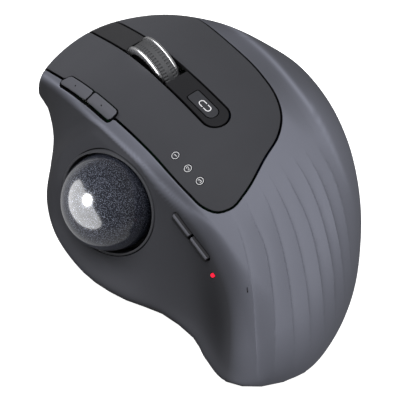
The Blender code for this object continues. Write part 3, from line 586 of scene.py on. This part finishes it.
def turned(profile, at, axis, steps):
    """A body turned about an axis from a closed profile of (radius, height) points."""
    spin = Vector((0, 0, 1)).rotation_difference(Vector(axis)).to_matrix()
    at = Vector(at)

    def place(p, k):
        a = 2 * math.pi * k / steps
        return tuple(at + spin @ Vector((p[0] * math.cos(a), p[0] * math.sin(a), p[1])))

    return swept(profile, place, steps)


def outward(obj):
    """Turns the faces of a closed piece outwards."""
    bm = bmesh.new()
    bm.from_mesh(obj.data)
    bmesh.ops.recalc_face_normals(bm, faces=bm.faces)
    bm.to_mesh(obj.data)
    bm.free()
    return obj


def block(name, plan, ends, bevel, at, axes, material, dome=0.0):
    """A capped prism on a plan outline in a tilted frame, its upper edge rounded."""
    low, high = ends
    p = np.array(plan, float)
    middle = p.mean(0)
    rings = [np.column_stack([p, np.full(len(p), low)])]
    way = middle - p
    way /= np.linalg.norm(way, axis=1)[:, None]
    for k in range(5):
        a = math.radians(90 * k / 4)
        inset = bevel * (1 - math.cos(a))
        lift = high - bevel + bevel * math.sin(a)
        rings.append(np.column_stack([p + way * inset, np.full(len(p), lift)]))
    inner = rings[-1][:, :2]
    for share in (0.7, 0.4):
        lift = dome * (1 - share ** 2)
        rings.append(np.column_stack([middle + (inner - middle) * share, np.full(len(p), high + lift)]))
    count = len(p)
    flat = np.concatenate(rings + [[[*middle, high + dome], [*middle, low]]])
    faces = []
    for i in range(len(rings) - 1):
        for k in range(count):
            n = (k + 1) % count
            faces.append((i * count + k, i * count + n, (i + 1) * count + n, (i + 1) * count + k))
    top, tip, foot = (len(rings) - 1) * count, len(flat) - 2, len(flat) - 1
    for k in range(count):
        n = (k + 1) % count
        faces += [(top + k, top + n, tip), (n, k, foot)]
    return outward(new_piece(name, flat @ np.array(axes, float) + np.array(at), faces, material))


# ---------------------------------------------------------------- materials


def shader_of(name, rough, **fixed):
    """A Principled material and its nodes; fixed values go straight on the shader's sockets."""
    made = bpy.data.materials.new(name)
    made.use_nodes = True
    tree = made.node_tree
    shader = tree.nodes["Principled BSDF"]
    shader.inputs["Roughness"].default_value = rough
    for socket, value in fixed.items():
        shader.inputs[socket.replace("_", " ")].default_value = value
    return made, tree, shader


def noise(tree, scale, detail=3.0, rough=0.5):
    place = tree.nodes.new("ShaderNodeTexCoord")
    made = tree.nodes.new("ShaderNodeTexNoise")
    made.inputs["Scale"].default_value = scale
    made.inputs["Detail"].default_value = detail
    made.inputs["Roughness"].default_value = rough
    tree.links.new(place.outputs["Object"], made.inputs["Vector"])
    return made.outputs["Fac"]


def ranged(tree, value, low, high, from_low=0.3, from_high=0.7):
    made = tree.nodes.new("ShaderNodeMapRange")
    made.inputs["From Min"].default_value = from_low
    made.inputs["From Max"].default_value = from_high
    made.inputs["To Min"].default_value = low
    made.inputs["To Max"].default_value = high
    tree.links.new(value, made.inputs["Value"])
    return made.outputs["Result"]


def mixed(tree, share, first, second):
    """Mixes two colours, each a colour or another node's output."""
    made = tree.nodes.new("ShaderNodeMix")
    made.data_type = "RGBA"
    tree.links.new(share, made.inputs["Factor"])
    for socket, colour in (("A", first), ("B", second)):
        target = [s for s in made.inputs if s.name == socket and s.type == "RGBA"][0]
        if isinstance(colour, tuple):
            target.default_value = (*colour, 1.0)
        else:
            tree.links.new(colour, target)
    return [s for s in made.outputs if s.type == "RGBA"][0]


def combined(tree, operation, first, second):
    made = tree.nodes.new("ShaderNodeMath")
    made.operation = operation
    tree.links.new(first, made.inputs[0])
    tree.links.new(second, made.inputs[1])
    return made.outputs["Value"]


def bumped(tree, shader, value, strength, deep):
    made = tree.nodes.new("ShaderNodeBump")
    made.inputs["Strength"].default_value = strength
    made.inputs["Distance"].default_value = deep * MM
    tree.links.new(value, made.inputs["Height"])
    tree.links.new(made.outputs["Normal"], shader.inputs["Normal"])


def scaled(colour, by):
    return tuple(min(c * by, 1.0) for c in colour)


def moulded(name, colour, rough, vary=0.06, grain=3200.0, strength=0.25, deep=0.02, **fixed):
    """Moulded plastic, rubber or metal: faint cloudy colour, fine surface grain and uneven gloss."""
    made, tree, shader = shader_of(name, rough, **fixed)
    cloud = noise(tree, 60.0, 4.0)
    colours = mixed(tree, cloud, scaled(colour, 1 - vary), scaled(colour, 1 + vary))
    tree.links.new(colours, shader.inputs["Base Color"])
    fine = noise(tree, grain, 2.0)
    tree.links.new(ranged(tree, fine, rough - 0.05, rough + 0.05), shader.inputs["Roughness"])
    bumped(tree, shader, fine, strength, deep)
    return made


SHELL_LIGHT = (0.142, 0.147, 0.178)
SHELL_DARK = (0.052, 0.053, 0.061)
TONE_AND_PAINTED_LIGHT = "thumb_side"  # -1 painted highlight, 0 the palm's colour, 1 the thumb side's, partly painted shade, 2 deepest painted shade
CLOUD = 0.04  # how far the colour drifts either way


def soft_touch(name):
    """The shell's soft-touch coat: lighter on the palm, darker down the thumb side (partly its own colour,
    partly painted shade), with painted highlights and deeper painted shade.
    """
    made, tree, shader = shader_of(name, 0.56, Specular_IOR_Level=0.3)
    shade = tree.nodes.new("ShaderNodeAttribute")
    shade.attribute_name = TONE_AND_PAINTED_LIGHT
    fine = noise(tree, 4200.0, 2.0)
    cloud = noise(tree, 35.0, 3.0)
    palm = mixed(tree, cloud, scaled(SHELL_LIGHT, 1 - CLOUD), scaled(SHELL_LIGHT, 1 + CLOUD))
    side = mixed(tree, cloud, scaled(SHELL_DARK, 1 - CLOUD), scaled(SHELL_DARK, 1 + CLOUD))
    lit = mixed(tree, ranged(tree, shade.outputs["Fac"], 0.0, 1.0, 0.0, 1.0), palm, side)
    # painted highlight: where the tone goes below 0, the colour is lightened towards 1.75 times the palm's
    painted_highlight = ranged(tree, shade.outputs["Fac"], 1.0, 0.0, -1.0, 0.0)
    lit = mixed(tree, painted_highlight, lit, scaled(SHELL_LIGHT, 1.75))
    # painted shade: where the tone goes over 1, the colour deepens towards half the thumb side's
    deepest = ranged(tree, shade.outputs["Fac"], 0.0, 1.0, 1.0, 2.0)
    tree.links.new(mixed(tree, deepest, lit, scaled(SHELL_DARK, 0.5)), shader.inputs["Base Color"])
    tree.links.new(ranged(tree, fine, 0.52, 0.6), shader.inputs["Roughness"])
    bumped(tree, shader, fine, 0.22, 0.02)
    return made


BALL_BLACK = (0.003, 0.0035, 0.006)
BALL_BLUE = (0.008, 0.009, 0.015)
FLAKE = (0.33, 0.36, 0.44)
FLAKE_LAYERS = ((4000.0, 0.4), (6200.0, 0.45))  # cells in a metre, and a flake's size in its cell


def glitter_ball(name):
    """Deep blue-black ball with silver flakes under a clear gloss coat."""
    made, tree, shader = shader_of(name, 0.2, Coat_Weight=1.0, Coat_Roughness=0.07)
    place = tree.nodes.new("ShaderNodeTexCoord")
    specks = []
    for scale, size in FLAKE_LAYERS:
        cells = tree.nodes.new("ShaderNodeTexVoronoi")
        cells.inputs["Scale"].default_value = scale
        tree.links.new(place.outputs["Object"], cells.inputs["Vector"])
        dots = ranged(tree, cells.outputs["Distance"], 1.0, 0.0, size * 0.5, size)
        chosen = ranged(tree, cells.outputs["Color"], 0.0, 1.0, 0.7, 0.8)
        specks.append(combined(tree, "MULTIPLY", dots, chosen))
    dust = combined(tree, "MAXIMUM", *specks)
    patchy = noise(tree, 260.0, 4.0, 0.6)
    deep = mixed(tree, patchy, BALL_BLACK, BALL_BLUE)
    tree.links.new(mixed(tree, dust, deep, FLAKE), shader.inputs["Base Color"])
    tree.links.new(ranged(tree, dust, 0.0, 0.7, 0.0, 1.0), shader.inputs["Metallic"])
    tree.links.new(ranged(tree, patchy, 0.16, 0.24), shader.inputs["Roughness"])
    return made


SHELL = soft_touch("soft_touch_shell")
PANEL_SKIN = moulded("panel_dark", (0.0385, 0.0393, 0.0445), 0.52, Specular_IOR_Level=0.35)
STRIP_SKIN = moulded("strip_dark", (0.015, 0.015, 0.017), 0.42)
CAP_SKIN = moulded("cap_dark", (0.034, 0.034, 0.037), 0.45)
BUTTON = moulded("button_grey", (0.113, 0.115, 0.133), 0.42)
RING_SKIN = moulded("ring_grey", (0.055, 0.056, 0.063), 0.4)
BLACK = moulded("black_plastic", (0.006, 0.006, 0.0065), 0.55)
RUBBER = moulded("tyre_rubber", (0.075, 0.076, 0.08), 0.5)
METAL = {"grain": 1500.0, "deep": 0.01, "Metallic": 1.0}
CHROME = moulded("chrome", (0.92, 0.92, 0.94), 0.3, vary=0.02, strength=0.08, **METAL)
STEEL = moulded("steel", (0.52, 0.52, 0.53), 0.3, vary=0.05, strength=0.15, **METAL)
PRINT = moulded("printed_white", (0.80, 0.80, 0.82), 0.45, vary=0.02)
GLOW = {"Emission_Color": (1.0, 0.01, 0.04, 1.0), "Emission_Strength": 1.0}
LAMP = moulded("lamp_red", (0.75, 0.01, 0.03), 0.25, vary=0.03, **GLOW)
GLITTER = glitter_ball("glitter_ball")
BOARD = moulded("board_green", (0.012, 0.07, 0.03), 0.5, vary=0.1)
SWITCH = moulded("switch_white", (0.62, 0.62, 0.60), 0.5)
BATTERY = moulded("battery_blue", (0.03, 0.06, 0.16), 0.45)
LENS = moulded("lens_clear", (0.7, 0.75, 0.8), 0.1, vary=0.03)
FOOT = moulded("foot_grey", (0.035, 0.035, 0.037), 0.35)
BEAD = moulded("bead_white", (0.85, 0.85, 0.82), 0.15, vary=0.02)

# ---------------------------------------------------------------- skins

CREASE_LEVELS = (-2.4, -1.2, -0.5, 0.0, 0.5, 1.2, 2.4)  # where the skin's mesh is cut along the crease
RIB_CUTS = (0.0, 0.12, 0.5, 0.88)  # and along the ribs, as shares of a hollow's width


def cut_skin():
    rows, tris = whole_skin()
    for level in CREASE_LEVELS:
        x, y = rows[:, 0], rows[:, 1]
        rows, tris = split(rows, tris, crown(x, y) - thumb_side(x, y) - level)
    for k in range(len(RIBS) - 1):
        for share in RIB_CUTS:
            x, y = rows[:, 0], rows[:, 1]
            line = rib_line(k, y) * (1 - share) + rib_line(k + 1, y) * share
            rows, tris = split(rows, tris, x - line)
    return rows, tris


skin = cut_skin()


def part_of(sheet, fields):
    """The part of a sheet inside every one of the fields."""
    rows, tris = sheet
    for field in fields:
        rows, tris = split(rows, tris, field(surface(rows)), True)
    return rows, tris


def shell_field(p):
    return -openings(p)


# Where the thumb side's darker colour begins past the crease and how wide its ramp is, by y: partly the
# side's own colour, partly painted shade, widest at the rear
SHADE_FROM = [(75, 0.2), (-16, 0.2), (-34, 2.4), (-46, 3.4), (-54, 2.0), (-62, 0.8), (-75, 0.0)]
SHADE_WIDE = [(75, 1.2), (0, 1.2), (-20, 2.2), (-34, 6.5), (-46, 10.5), (-56, 15.0), (-75, 19.0)]
VALLEY_AT = (-28.0, -44.0)  # the darkest painted shade, behind the ball
VALLEY_LEAN = 0.37
VALLEY_WIDE = 5.0
VALLEY_LONG = 15.0
CREASE_SHADE = 0.3  # how much deeper the painted shade is under the crease, beside the ball
CREASE_HIGHLIGHT = 0.75  # how light the painted highlight along the crease's edge is
CREASE_HIGHLIGHT_OUT = 0.55  # its distance from the crease, and its width
CREASE_HIGHLIGHT_WIDE = 0.5
RIGHT_FLANK_SHADE = 0.65  # painted shade on the right flank, and on the shell beside the panel by y
BESIDE_PANEL_SHADE = [(75, 0.55), (45, 0.55), (30, 0.45), (5, 0.6), (-10, 0.3), (-22, 0.0)]
CREST_LIT = 0.45  # how light the painted highlight on the right shoulder's crest is, its offset and its width
CREST_IN = 0.3
CREST_WIDE = 1.1


def fading(value, start, over):
    """0 up to the start, 1 once past it by the given stretch."""
    return smooth_step((value - start) / over)


def thumb_tone_and_light(x, y):
    """Tone of the thumb side from 0 to 2, partly its own colour and partly painted shade, deepest behind
    the ball and under the crease, and the painted highlight along its upper edge.
    """
    past = along(CREASE_X, y) + along(SHADE_FROM, y) - x
    shade = smooth_step(past / along(SHADE_WIDE, y))
    # painted shade under the crease, beside the ball
    under = CREASE_SHADE * fading(y, 2, 16) * (1 - fading(past, 4, 14)) * (1 - fading(y, 32, 14))
    # painted shade round the darkest spot behind the ball
    off = x - VALLEY_AT[0] - VALLEY_LEAN * (y - VALLEY_AT[1])
    valley = np.exp(-(off / VALLEY_WIDE) ** 2 - ((y - VALLEY_AT[1]) / VALLEY_LONG) ** 2)
    # painted highlight along the crease's edge
    painted_highlight = CREASE_HIGHLIGHT * np.exp(-((past + CREASE_HIGHLIGHT_OUT) / CREASE_HIGHLIGHT_WIDE) ** 2) * fading(y, -34, 14)
    return shade, shade * np.clip(under + valley, 0, 1), painted_highlight


def right_painted_light(x, y):
    """Painted shade on the right side, darker at the front and past the shoulder's crest, and a painted
    highlight on that crest.
    """
    past = x - along(SHOULDER_X, y)
    flank = RIGHT_FLANK_SHADE * smooth_step(past / 2.4) * fading(y, -30, 40)
    beside_panel = along(BESIDE_PANEL_SHADE, y) * fading(x, 27, 5)
    lit = np.exp(-((past + CREST_IN) / CREST_WIDE) ** 2) * fading(y, -44, 16) * (1 - fading(y, 50, 12))
    return np.maximum(flank, beside_panel) * (1 - lit) - CREST_LIT * lit


shell = sheet_piece("shell", *part_of(skin, [shell_field]), shell_field, SHELL)
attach(shell, "housing")
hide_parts("upper_shell")
shell_at = np.array([v.co for v in shell.data.vertices]) / MM - SHIFT
# painted shade and painted highlights go into the tone attribute with the thumb side's darker colour
shade, deeper, painted_highlight = thumb_tone_and_light(shell_at[:, 0], shell_at[:, 1])
tones = shade + deeper + (1 - shade) * (right_painted_light(shell_at[:, 0], shell_at[:, 1]) - painted_highlight)
tone = shell.data.attributes.new(TONE_AND_PAINTED_LIGHT, "FLOAT", "POINT")
tone.data.foreach_set("value", tones.astype(np.float32))


def key_field(p):
    """Inside the panel opening and outside the strip and the thumb buttons."""
    return np.min([
        panel_field(p) - SEAM, p[:, 2] - KEY_BOTTOM, -strip_field(p) - 2 * SEAM,
        -distance(p, FORWARD_PLAN) - THUMB_CLEAR_PANEL, -distance(p, BACK_PLAN) - THUMB_CLEAR_PANEL,
        mark_field(p),
    ], 0)


def mark_field(p):
    return np.min([np.hypot(p[:, 0] - x, p[:, 1] - y) for x, y in MARKS], 0) - MARK_R - MARK_GAP


def left_half(p):
    return STRIP_X - p[:, 0]


def right_half(p):
    return p[:, 0] - STRIP_X


whole_panel = part_of(skin, [key_field])
panel_halves = []
for name, half, body, stands_for in (
    ("panel_left", left_half, "left_click_key", ("left_key", "panel_rear")),
    ("panel_right", right_half, "right_click_key", ("right_key",)),
):
    key = sheet_piece(name, *part_of(whole_panel, [half]), key_field, PANEL_SKIN)
    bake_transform(key)
    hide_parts(*stands_for)
    panel_halves.append(key)


def strip_piece(name, fields, material, body, node, **shape):
    """A piece of the skin inside every one of the fields."""
    def field(p):
        return np.min([f(p) for f in fields], 0)

    piece = sheet_piece(name, *part_of(skin, [field]), field, material, **shape)
    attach(piece, body)
    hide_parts(node)


NOSE_CLEAR = 0.3  # gap under the strip's front end


def above_rim(p):
    return p[:, 2] - OPENING_BOTTOM - NOSE_CLEAR


def behind_wheel(p):
    return SLOT_REAR - p[:, 1]


def before_wheel(p):
    return p[:, 1] - SLOT_FRONT


def around(outline, gap):
    return lambda p: -distance(p, outline) - gap


def within(outline):
    return lambda p: distance(p, outline)


rear_fields = [strip_field, behind_wheel, around(PAIR_PLAN, PAIR_CLEAR)]
strip_piece("strip_rear", rear_fields, STRIP_SKIN, "housing", "centre_strip", thick=2.2)
strip_piece("nose_cap", [strip_field, before_wheel, above_rim], CAP_SKIN, "housing", "front_cap")
strip_piece("pair_cap", [within(PAIR_PLAN)], PANEL_SKIN, "pair", "pair_button", thick=1.4)
CAP_PROUD = 1.0
thumb_cap = {"proud": CAP_PROUD, "thick": 2.6, "roll": 0.4}
strip_piece("forward_cap", [within(FORWARD_PLAN)], BUTTON, "forward", "forward_button", **thumb_cap)
strip_piece("back_cap", [within(BACK_PLAN)], BUTTON, "back", "back_button", **thumb_cap)

# ---------------------------------------------------------------- ball and bezel


def on_oval(long_r, short_r, high, turn):
    """A point at a share of a turn round an oval in the bezel's plane, or high over it."""
    a = 2 * math.pi * turn
    flat = LONG_WAY * (long_r * math.cos(a)) + SHORT_WAY * (short_r * math.sin(a))
    return tuple(RING_AT + flat + RING_NORMAL * high)


BEZEL_STEPS = 120
BEZEL = [  # (inset from the oval's outer edge, height over its plane)
    (0, -2.0), (0, 0.1), (0.12, 0.3), (0.3, 0.38), (0.55, 0.38), (0.73, 0.3), (0.85, 0.1), (0.85, -2.0),
]


def bezel_place(point, k):
    inset, high = point
    return on_oval(RING_LONG - inset, RING_SHORT - inset, high, k / BEZEL_STEPS)


bezel = outward(new_piece("bezel", *swept(BEZEL, bezel_place, BEZEL_STEPS), RING_SKIN))
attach(bezel, "housing")
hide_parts("ball_ring")

THROAT_STEPS = 96
THROAT_IN = 0.95  # inset of its upper end from the bezel's outer edge
THROAT_LOW_R = 18.1  # radius of its round lower end
THROAT = [  # (share of the way to the lower end, wall, height over the bezel's plane)
    (0, 0, -0.3), (0.3, 0, -1.6), (1, 0, -5.4), (1, 0.5, -5.4), (0.3, 0.6, -2.0), (0, 0.02, -2.0),
]


def throat_place(point, k):
    """The black throat between the bezel and the cup under the ball."""
    share, wall, high = point
    long_r = (1 - share) * (RING_LONG - THROAT_IN) + share * THROAT_LOW_R + wall
    short_r = (1 - share) * (RING_SHORT - THROAT_IN) + share * THROAT_LOW_R + wall
    return on_oval(long_r, short_r, high, k / THROAT_STEPS)


throat = outward(new_piece("ball_throat", *swept(THROAT, throat_place, THROAT_STEPS), BLACK))
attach(throat, "housing")

bm = bmesh.new()
bmesh.ops.create_icosphere(bm, subdivisions=6, radius=BALL_R * MM)
bmesh.ops.translate(bm, verts=bm.verts, vec=(BALL + SHIFT) * MM)
mesh = bpy.data.meshes.new("ball")
bm.to_mesh(mesh)
bm.free()
mesh.shade_smooth()
mesh.materials.append(GLITTER)
ball = bpy.data.objects.new("ball", mesh)
bpy.context.scene.collection.objects.link(ball)
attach(ball, "ball_outer")
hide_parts("trackball_shell")

# ---------------------------------------------------------------- wheel

TYRE_RIBS = 56
TYRE_RIB = (0.0, 0.4, 0.48, 0.48, 0.4, 0.0)  # how high one rib stands, step by step
TYRE_STEPS = TYRE_RIBS * len(TYRE_RIB)
TYRE = [  # (radius, place across, 1 where the ribs stand)
    (9.2, -2.7, 0), (10.7, -2.7, 0), (10.9, -2.45, 0), (10.72, -2.3, 1), (10.72, -0.95, 1), (11.2, -0.8, 0),
    (11.2, 0.8, 0), (10.72, 0.95, 1), (10.72, 2.3, 1), (10.9, 2.45, 0), (10.7, 2.7, 0), (9.2, 2.7, 0),
]


def tyre_place(point, k):
    """A point of the tyre, which has two bands of fine ribs across."""
    r, across, ribbed = point
    a = 2 * math.pi * k / TYRE_STEPS
    r += TYRE_RIB[k % len(TYRE_RIB)] * ribbed
    return (WHEEL[0] + across, WHEEL[1] + r * math.cos(a), WHEEL[2] + r * math.sin(a))


tyre = outward(new_piece("tyre", *swept(TYRE, tyre_place, TYRE_STEPS), RUBBER, 30))
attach(tyre, "wheel")
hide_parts("wheel_tyre")

RIM = [
    (9.1, -0.62), (11.35, -0.62), (11.6, -0.45), (11.68, -0.2), (11.6, 0.15), (11.25, 0.5),
    (10.4, 0.66), (9.1, 0.66),
]
RIM_OUT = 3.3  # from the wheel's middle plane
rims = []
for name, node, sign in (("rim_left", "wheel_ring_left", -1), ("rim_right", "wheel_ring_right", 1)):
    middle = WHEEL + np.array((sign * RIM_OUT, 0, 0))
    rim = outward(new_piece(name, *turned(RIM, middle, (sign, 0, 0), 96), CHROME, 50))
    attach(rim, "wheel")
    rims.append(rim)
    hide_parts(node)

# ---------------------------------------------------------------- prints, lamps and small buttons


PRINT_HIGH = 0.04


def printed(name, lines, width, x, y, body):
    """Printed lines in one piece, laid on the top surface round (x, y)."""
    points, faces = [], []
    for line, closed in lines:
        flat, made = ribbon(line, width, PRINT_HIGH, closed)
        faces += [tuple(v + len(points) for v in face) for face in made]
        at = flat[:, :2] + np.array((x, y))
        points += np.column_stack([at, height(at[:, 0], at[:, 1]) + flat[:, 2]]).tolist()
    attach(outward(new_piece(name, points, faces, PRINT)), body)


LINK_WIDE = 1.0
LINK_LONG = 1.6
LINK_GAP = 0.28
LINK_AT = (8.75, 8.6)
LINK_LINE = 0.3


def half_link(sign):
    """One half of the pairing sign: a broken oval's end."""
    points = [(LINK_WIDE * sign, LINK_GAP * sign)]
    for k in range(13):
        a = math.pi * k / 12
        points.append((LINK_WIDE * math.cos(a) * sign, (LINK_LONG + LINK_WIDE * math.sin(a)) * sign))
    return points + [(-LINK_WIDE * sign, LINK_GAP * sign)]


printed("pair_sign", [(half_link(1), False), (half_link(-1), False)], LINK_LINE, *LINK_AT, "pair")

DIGIT_HIGH = 1.25
DIGITS = (  # each as one line, in shares of the digit's height
    [(-0.22, 0.3), (0.05, 0.5), (0.05, -0.5)],
    [
        (-0.3, 0.25), (-0.2, 0.43), (0, 0.5), (0.22, 0.42), (0.3, 0.22), (0.18, -0.03), (-0.3, -0.5),
        (0.32, -0.5),
    ],
    [
        (-0.28, 0.4), (-0.08, 0.5), (0.14, 0.47), (0.26, 0.3), (0.16, 0.08), (-0.06, 0.02), (0.2, -0.06),
        (0.3, -0.27), (0.14, -0.46), (-0.08, -0.5), (-0.3, -0.38),
    ],
)
SIGN_R = 1.22
SIGN_LINE = 0.15
for number, (x, y) in enumerate(MARKS, 1):
    def disc_field(p, x=x, y=y):
        return MARK_R - np.hypot(p[:, 0] - x, p[:, 1] - y)

    disc_sheet = part_of(skin, [disc_field])
    disc = sheet_piece("device_mark_%d" % number, *disc_sheet, disc_field, PANEL_SKIN, roll=0.08, thick=1.6)
    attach(disc, "housing")
    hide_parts("device_light_%d" % number)
    digit = [(DIGIT_HIGH * across, DIGIT_HIGH * up) for across, up in DIGITS[number - 1]]
    lines = [(digit, False), (oval(SIGN_R, SIGN_R, 36), True)]
    printed("device_sign_%d" % number, lines, SIGN_LINE, x, y, "housing")

ROCKER_FOOT = -3.5
ROCKER = [
    (1.32, ROCKER_FOOT), (1.32, 1.1), (1.2, 1.36), (0.95, 1.45), (0.55, 1.4), (0.2, 1.15), (-0.7, 0.5),
    (-1.5, -0.1), (-1.5, ROCKER_FOOT),
]
ROCKER_LIT = (1, 2, 3, 4)  # sides of the profile painted lighter, a painted highlight along the upper edge
ROCKER_HALF = 4.45  # half of one button's length, and how far its middle is from the slot's
ROCKER_AWAY = 4.95
ROCKER_ENDS = ((0.0, 0.4), (0.18, 0.14), (0.42, 0.0))  # distance from the end, and how much lower there


def rocker(name, middle):
    """A resolution button: a painted highlight along its upper side and a dark face sloping away."""
    stations = [(middle - ROCKER_HALF + d, low) for d, low in ROCKER_ENDS]
    stations += [(middle + ROCKER_HALF - d, low) for d, low in reversed(ROCKER_ENDS)]
    count = len(ROCKER)
    flat = []
    for at, low in stations:
        flat += [(at, side, out - low if out > ROCKER_FOOT else out) for side, out in ROCKER]
    faces, lit = [], []
    for i in range(len(stations) - 1):
        for k in range(count):
            n = (k + 1) % count
            faces.append((i * count + k, i * count + n, (i + 1) * count + n, (i + 1) * count + k))
            lit.append(int(k in ROCKER_LIT))
    faces += [tuple(range(count)), tuple(range(len(flat) - count, len(flat)))]
    axes = np.array([DPI_ALONG, DPI_SIDE, DPI_OUT], float)
    cap = new_piece(name, np.array(flat) @ axes + np.array(DPI_AT), faces, CAP_SKIN)
    # the sides along the upper edge take the lighter grey as a painted highlight
    cap.data.materials.append(BUTTON)
    cap.data.polygons.foreach_set("material_index", lit + [0, 0])
    return outward(cap)


for body, way in (("dpi_up", -1), ("dpi_down", 1)):
    cap = rocker(body + "_cap", way * ROCKER_AWAY)
    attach(cap, body)
    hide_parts(body + "_button")

LAMP_R = 0.72
dpi_axes = (DPI_ALONG, DPI_SIDE, DPI_OUT)
lamp_plan = oval(LAMP_R, LAMP_R, 24)
lamp = block("dpi_lamp", lamp_plan, (-2, 0.25), 0.15, DPI_LIGHT_AT, dpi_axes, LAMP, dome=0.15)
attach(lamp, "housing")
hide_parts("dpi_light")

DOT_R = 0.32
upright = ((1, 0, 0), (0, 1, 0), (0, 0, 1))
for body, x, y in (("forward", -15.4, 50.0), ("back", -15.3, 35.2)):
    top = (x, y, height_at(x, y) + CAP_PROUD)
    dot = block(body + "_dot", oval(DOT_R, DOT_R, 16), (-0.5, 0.08), 0.1, top, upright, BLACK)
    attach(dot, body)

# ---------------------------------------------------------------- carried-over nodes

CARRIED = (  # how the names of the nodes begin, by material
    (BLACK, ("base_shell", "ball_socket", "trackball_core", "sensor_chip", "receiver_body")),
    (BLACK, ("wheel_encoder", "wheel_carrier", "wheel_hub", "power_switch")),
    (STEEL, ("wheel_axle", "wheel_spring", "usb_c_port", "receiver_plug", "screw_")),
    (BOARD, ("sensor_board", "main_board", "thumb_board", "dpi_board")),
    (SWITCH, ("power_slider", "switch_")),
    (BATTERY, ("battery",)),
    (LENS, ("sensor_lens",)),
    (FOOT, ("foot_",)),
    (BEAD, ("bearing_",)),
)
for material, starts in CARRIED:
    for name, node in nodes.items():
        if name.startswith(starts):
            node.data.materials.clear()
            node.data.materials.append(material)

# ---------------------------------------------------------------- floor, lights and camera

TO_CAMERA = Vector((-0.2795, -0.3577, 0.8910))
CAMERA_RIGHT = Vector((0.7880, -0.6157, 0.0))
CAMERA_UP = Vector((0.5486, 0.7021, 0.4540))
AIM = Vector((-8.61, -5.22, 16.36)) * MM
CAMERA_FAR = 1.4

FLOOR = 6.0  # half of its side, in metres
FLOOR_GLOW = 0.85
WORLD_GLOW = 0.2

mesh = bpy.data.meshes.new("floor")
corners = [(-FLOOR, -FLOOR, 0), (FLOOR, -FLOOR, 0), (FLOOR, FLOOR, 0), (-FLOOR, FLOOR, 0)]
mesh.from_pydata(corners, [], [(0, 1, 2, 3)])
floor = bpy.data.objects.new("floor", mesh)
bpy.context.scene.collection.objects.link(floor)
pale, _, shader = shader_of("pale_floor", 0.8)
shader.inputs["Base Color"].default_value = (0.93, 0.93, 0.935, 1.0)
shader.inputs["Emission Color"].default_value = (1.0, 1.0, 1.0, 1.0)
shader.inputs["Emission Strength"].default_value = FLOOR_GLOW
mesh.materials.append(pale)
floor.visible_diffuse = False
floor.visible_glossy = False

world = bpy.data.worlds.new("studio")
bpy.context.scene.world = world
world.use_nodes = True
sky = world.node_tree.nodes["Background"]
sky.inputs["Color"].default_value = (1.0, 1.0, 1.0, 1.0)
sky.inputs["Strength"].default_value = WORLD_GLOW


def softbox(name, way, far, size, power, only=(), shines=True):
    """An oval light along a direction from the mouse, facing it; it can light only some pieces."""
    light = bpy.data.lights.new(name, "AREA")
    light.shape = "ELLIPSE"
    light.size, light.size_y = size
    light.energy = power
    obj = bpy.data.objects.new(name, light)
    way = Vector(way).normalized()
    obj.location = way * far
    obj.rotation_mode = "QUATERNION"
    obj.rotation_quaternion = way.to_track_quat("Z", "Y")
    obj.visible_glossy = shines
    obj.visible_camera = False
    bpy.context.scene.collection.objects.link(obj)
    if only:
        lit = bpy.data.collections.new(name + "_lights")
        for piece in only:
            lit.objects.link(piece)
        obj.light_linking.receiver_collection = lit


softbox("overhead", (-0.06, 0.12, 1.0), 1.8, (1.6, 1.6), 36, shines=False)
softbox("left_window", (-0.81, 0.309, 0.498), 1.0, (2.1, 1.3), 23, rims)
softbox("ball_window", (-0.9, 0.3, 0.13), 1.0, (2.6, 1.15), 32, [ball])
softbox("floor_glow", (0.0, 0.0, -1.0), -0.001, (1.2, 1.2), 0.6, [ball])
softbox("rear_fill", (0.3, -0.72, 0.6), 1.0, (1.0, 1.0), 4.4, shines=False)
softbox("front_fill", (-0.12, 0.99, 0.06), 1.0, (0.35, 0.35), 16.5, panel_halves, shines=False)
softbox("hot_spot", (-0.775, 0.297, 0.556), 0.95, (0.4, 0.4), 12, [ball])

camera = bpy.data.cameras.new("camera")
camera.lens = 367.9
camera.sensor_width = 36.0
camera.clip_end = 50.0
viewer = bpy.data.objects.new("camera", camera)
viewer.location = AIM + TO_CAMERA * CAMERA_FAR
viewer.rotation_mode = "QUATERNION"
turn = Matrix((CAMERA_RIGHT, CAMERA_UP, TO_CAMERA)).transposed()
viewer.rotation_quaternion = turn.to_quaternion()
bpy.context.scene.collection.objects.link(viewer)
bpy.context.scene.camera = viewer
bpy.context.scene.view_settings.view_transform = "Standard"
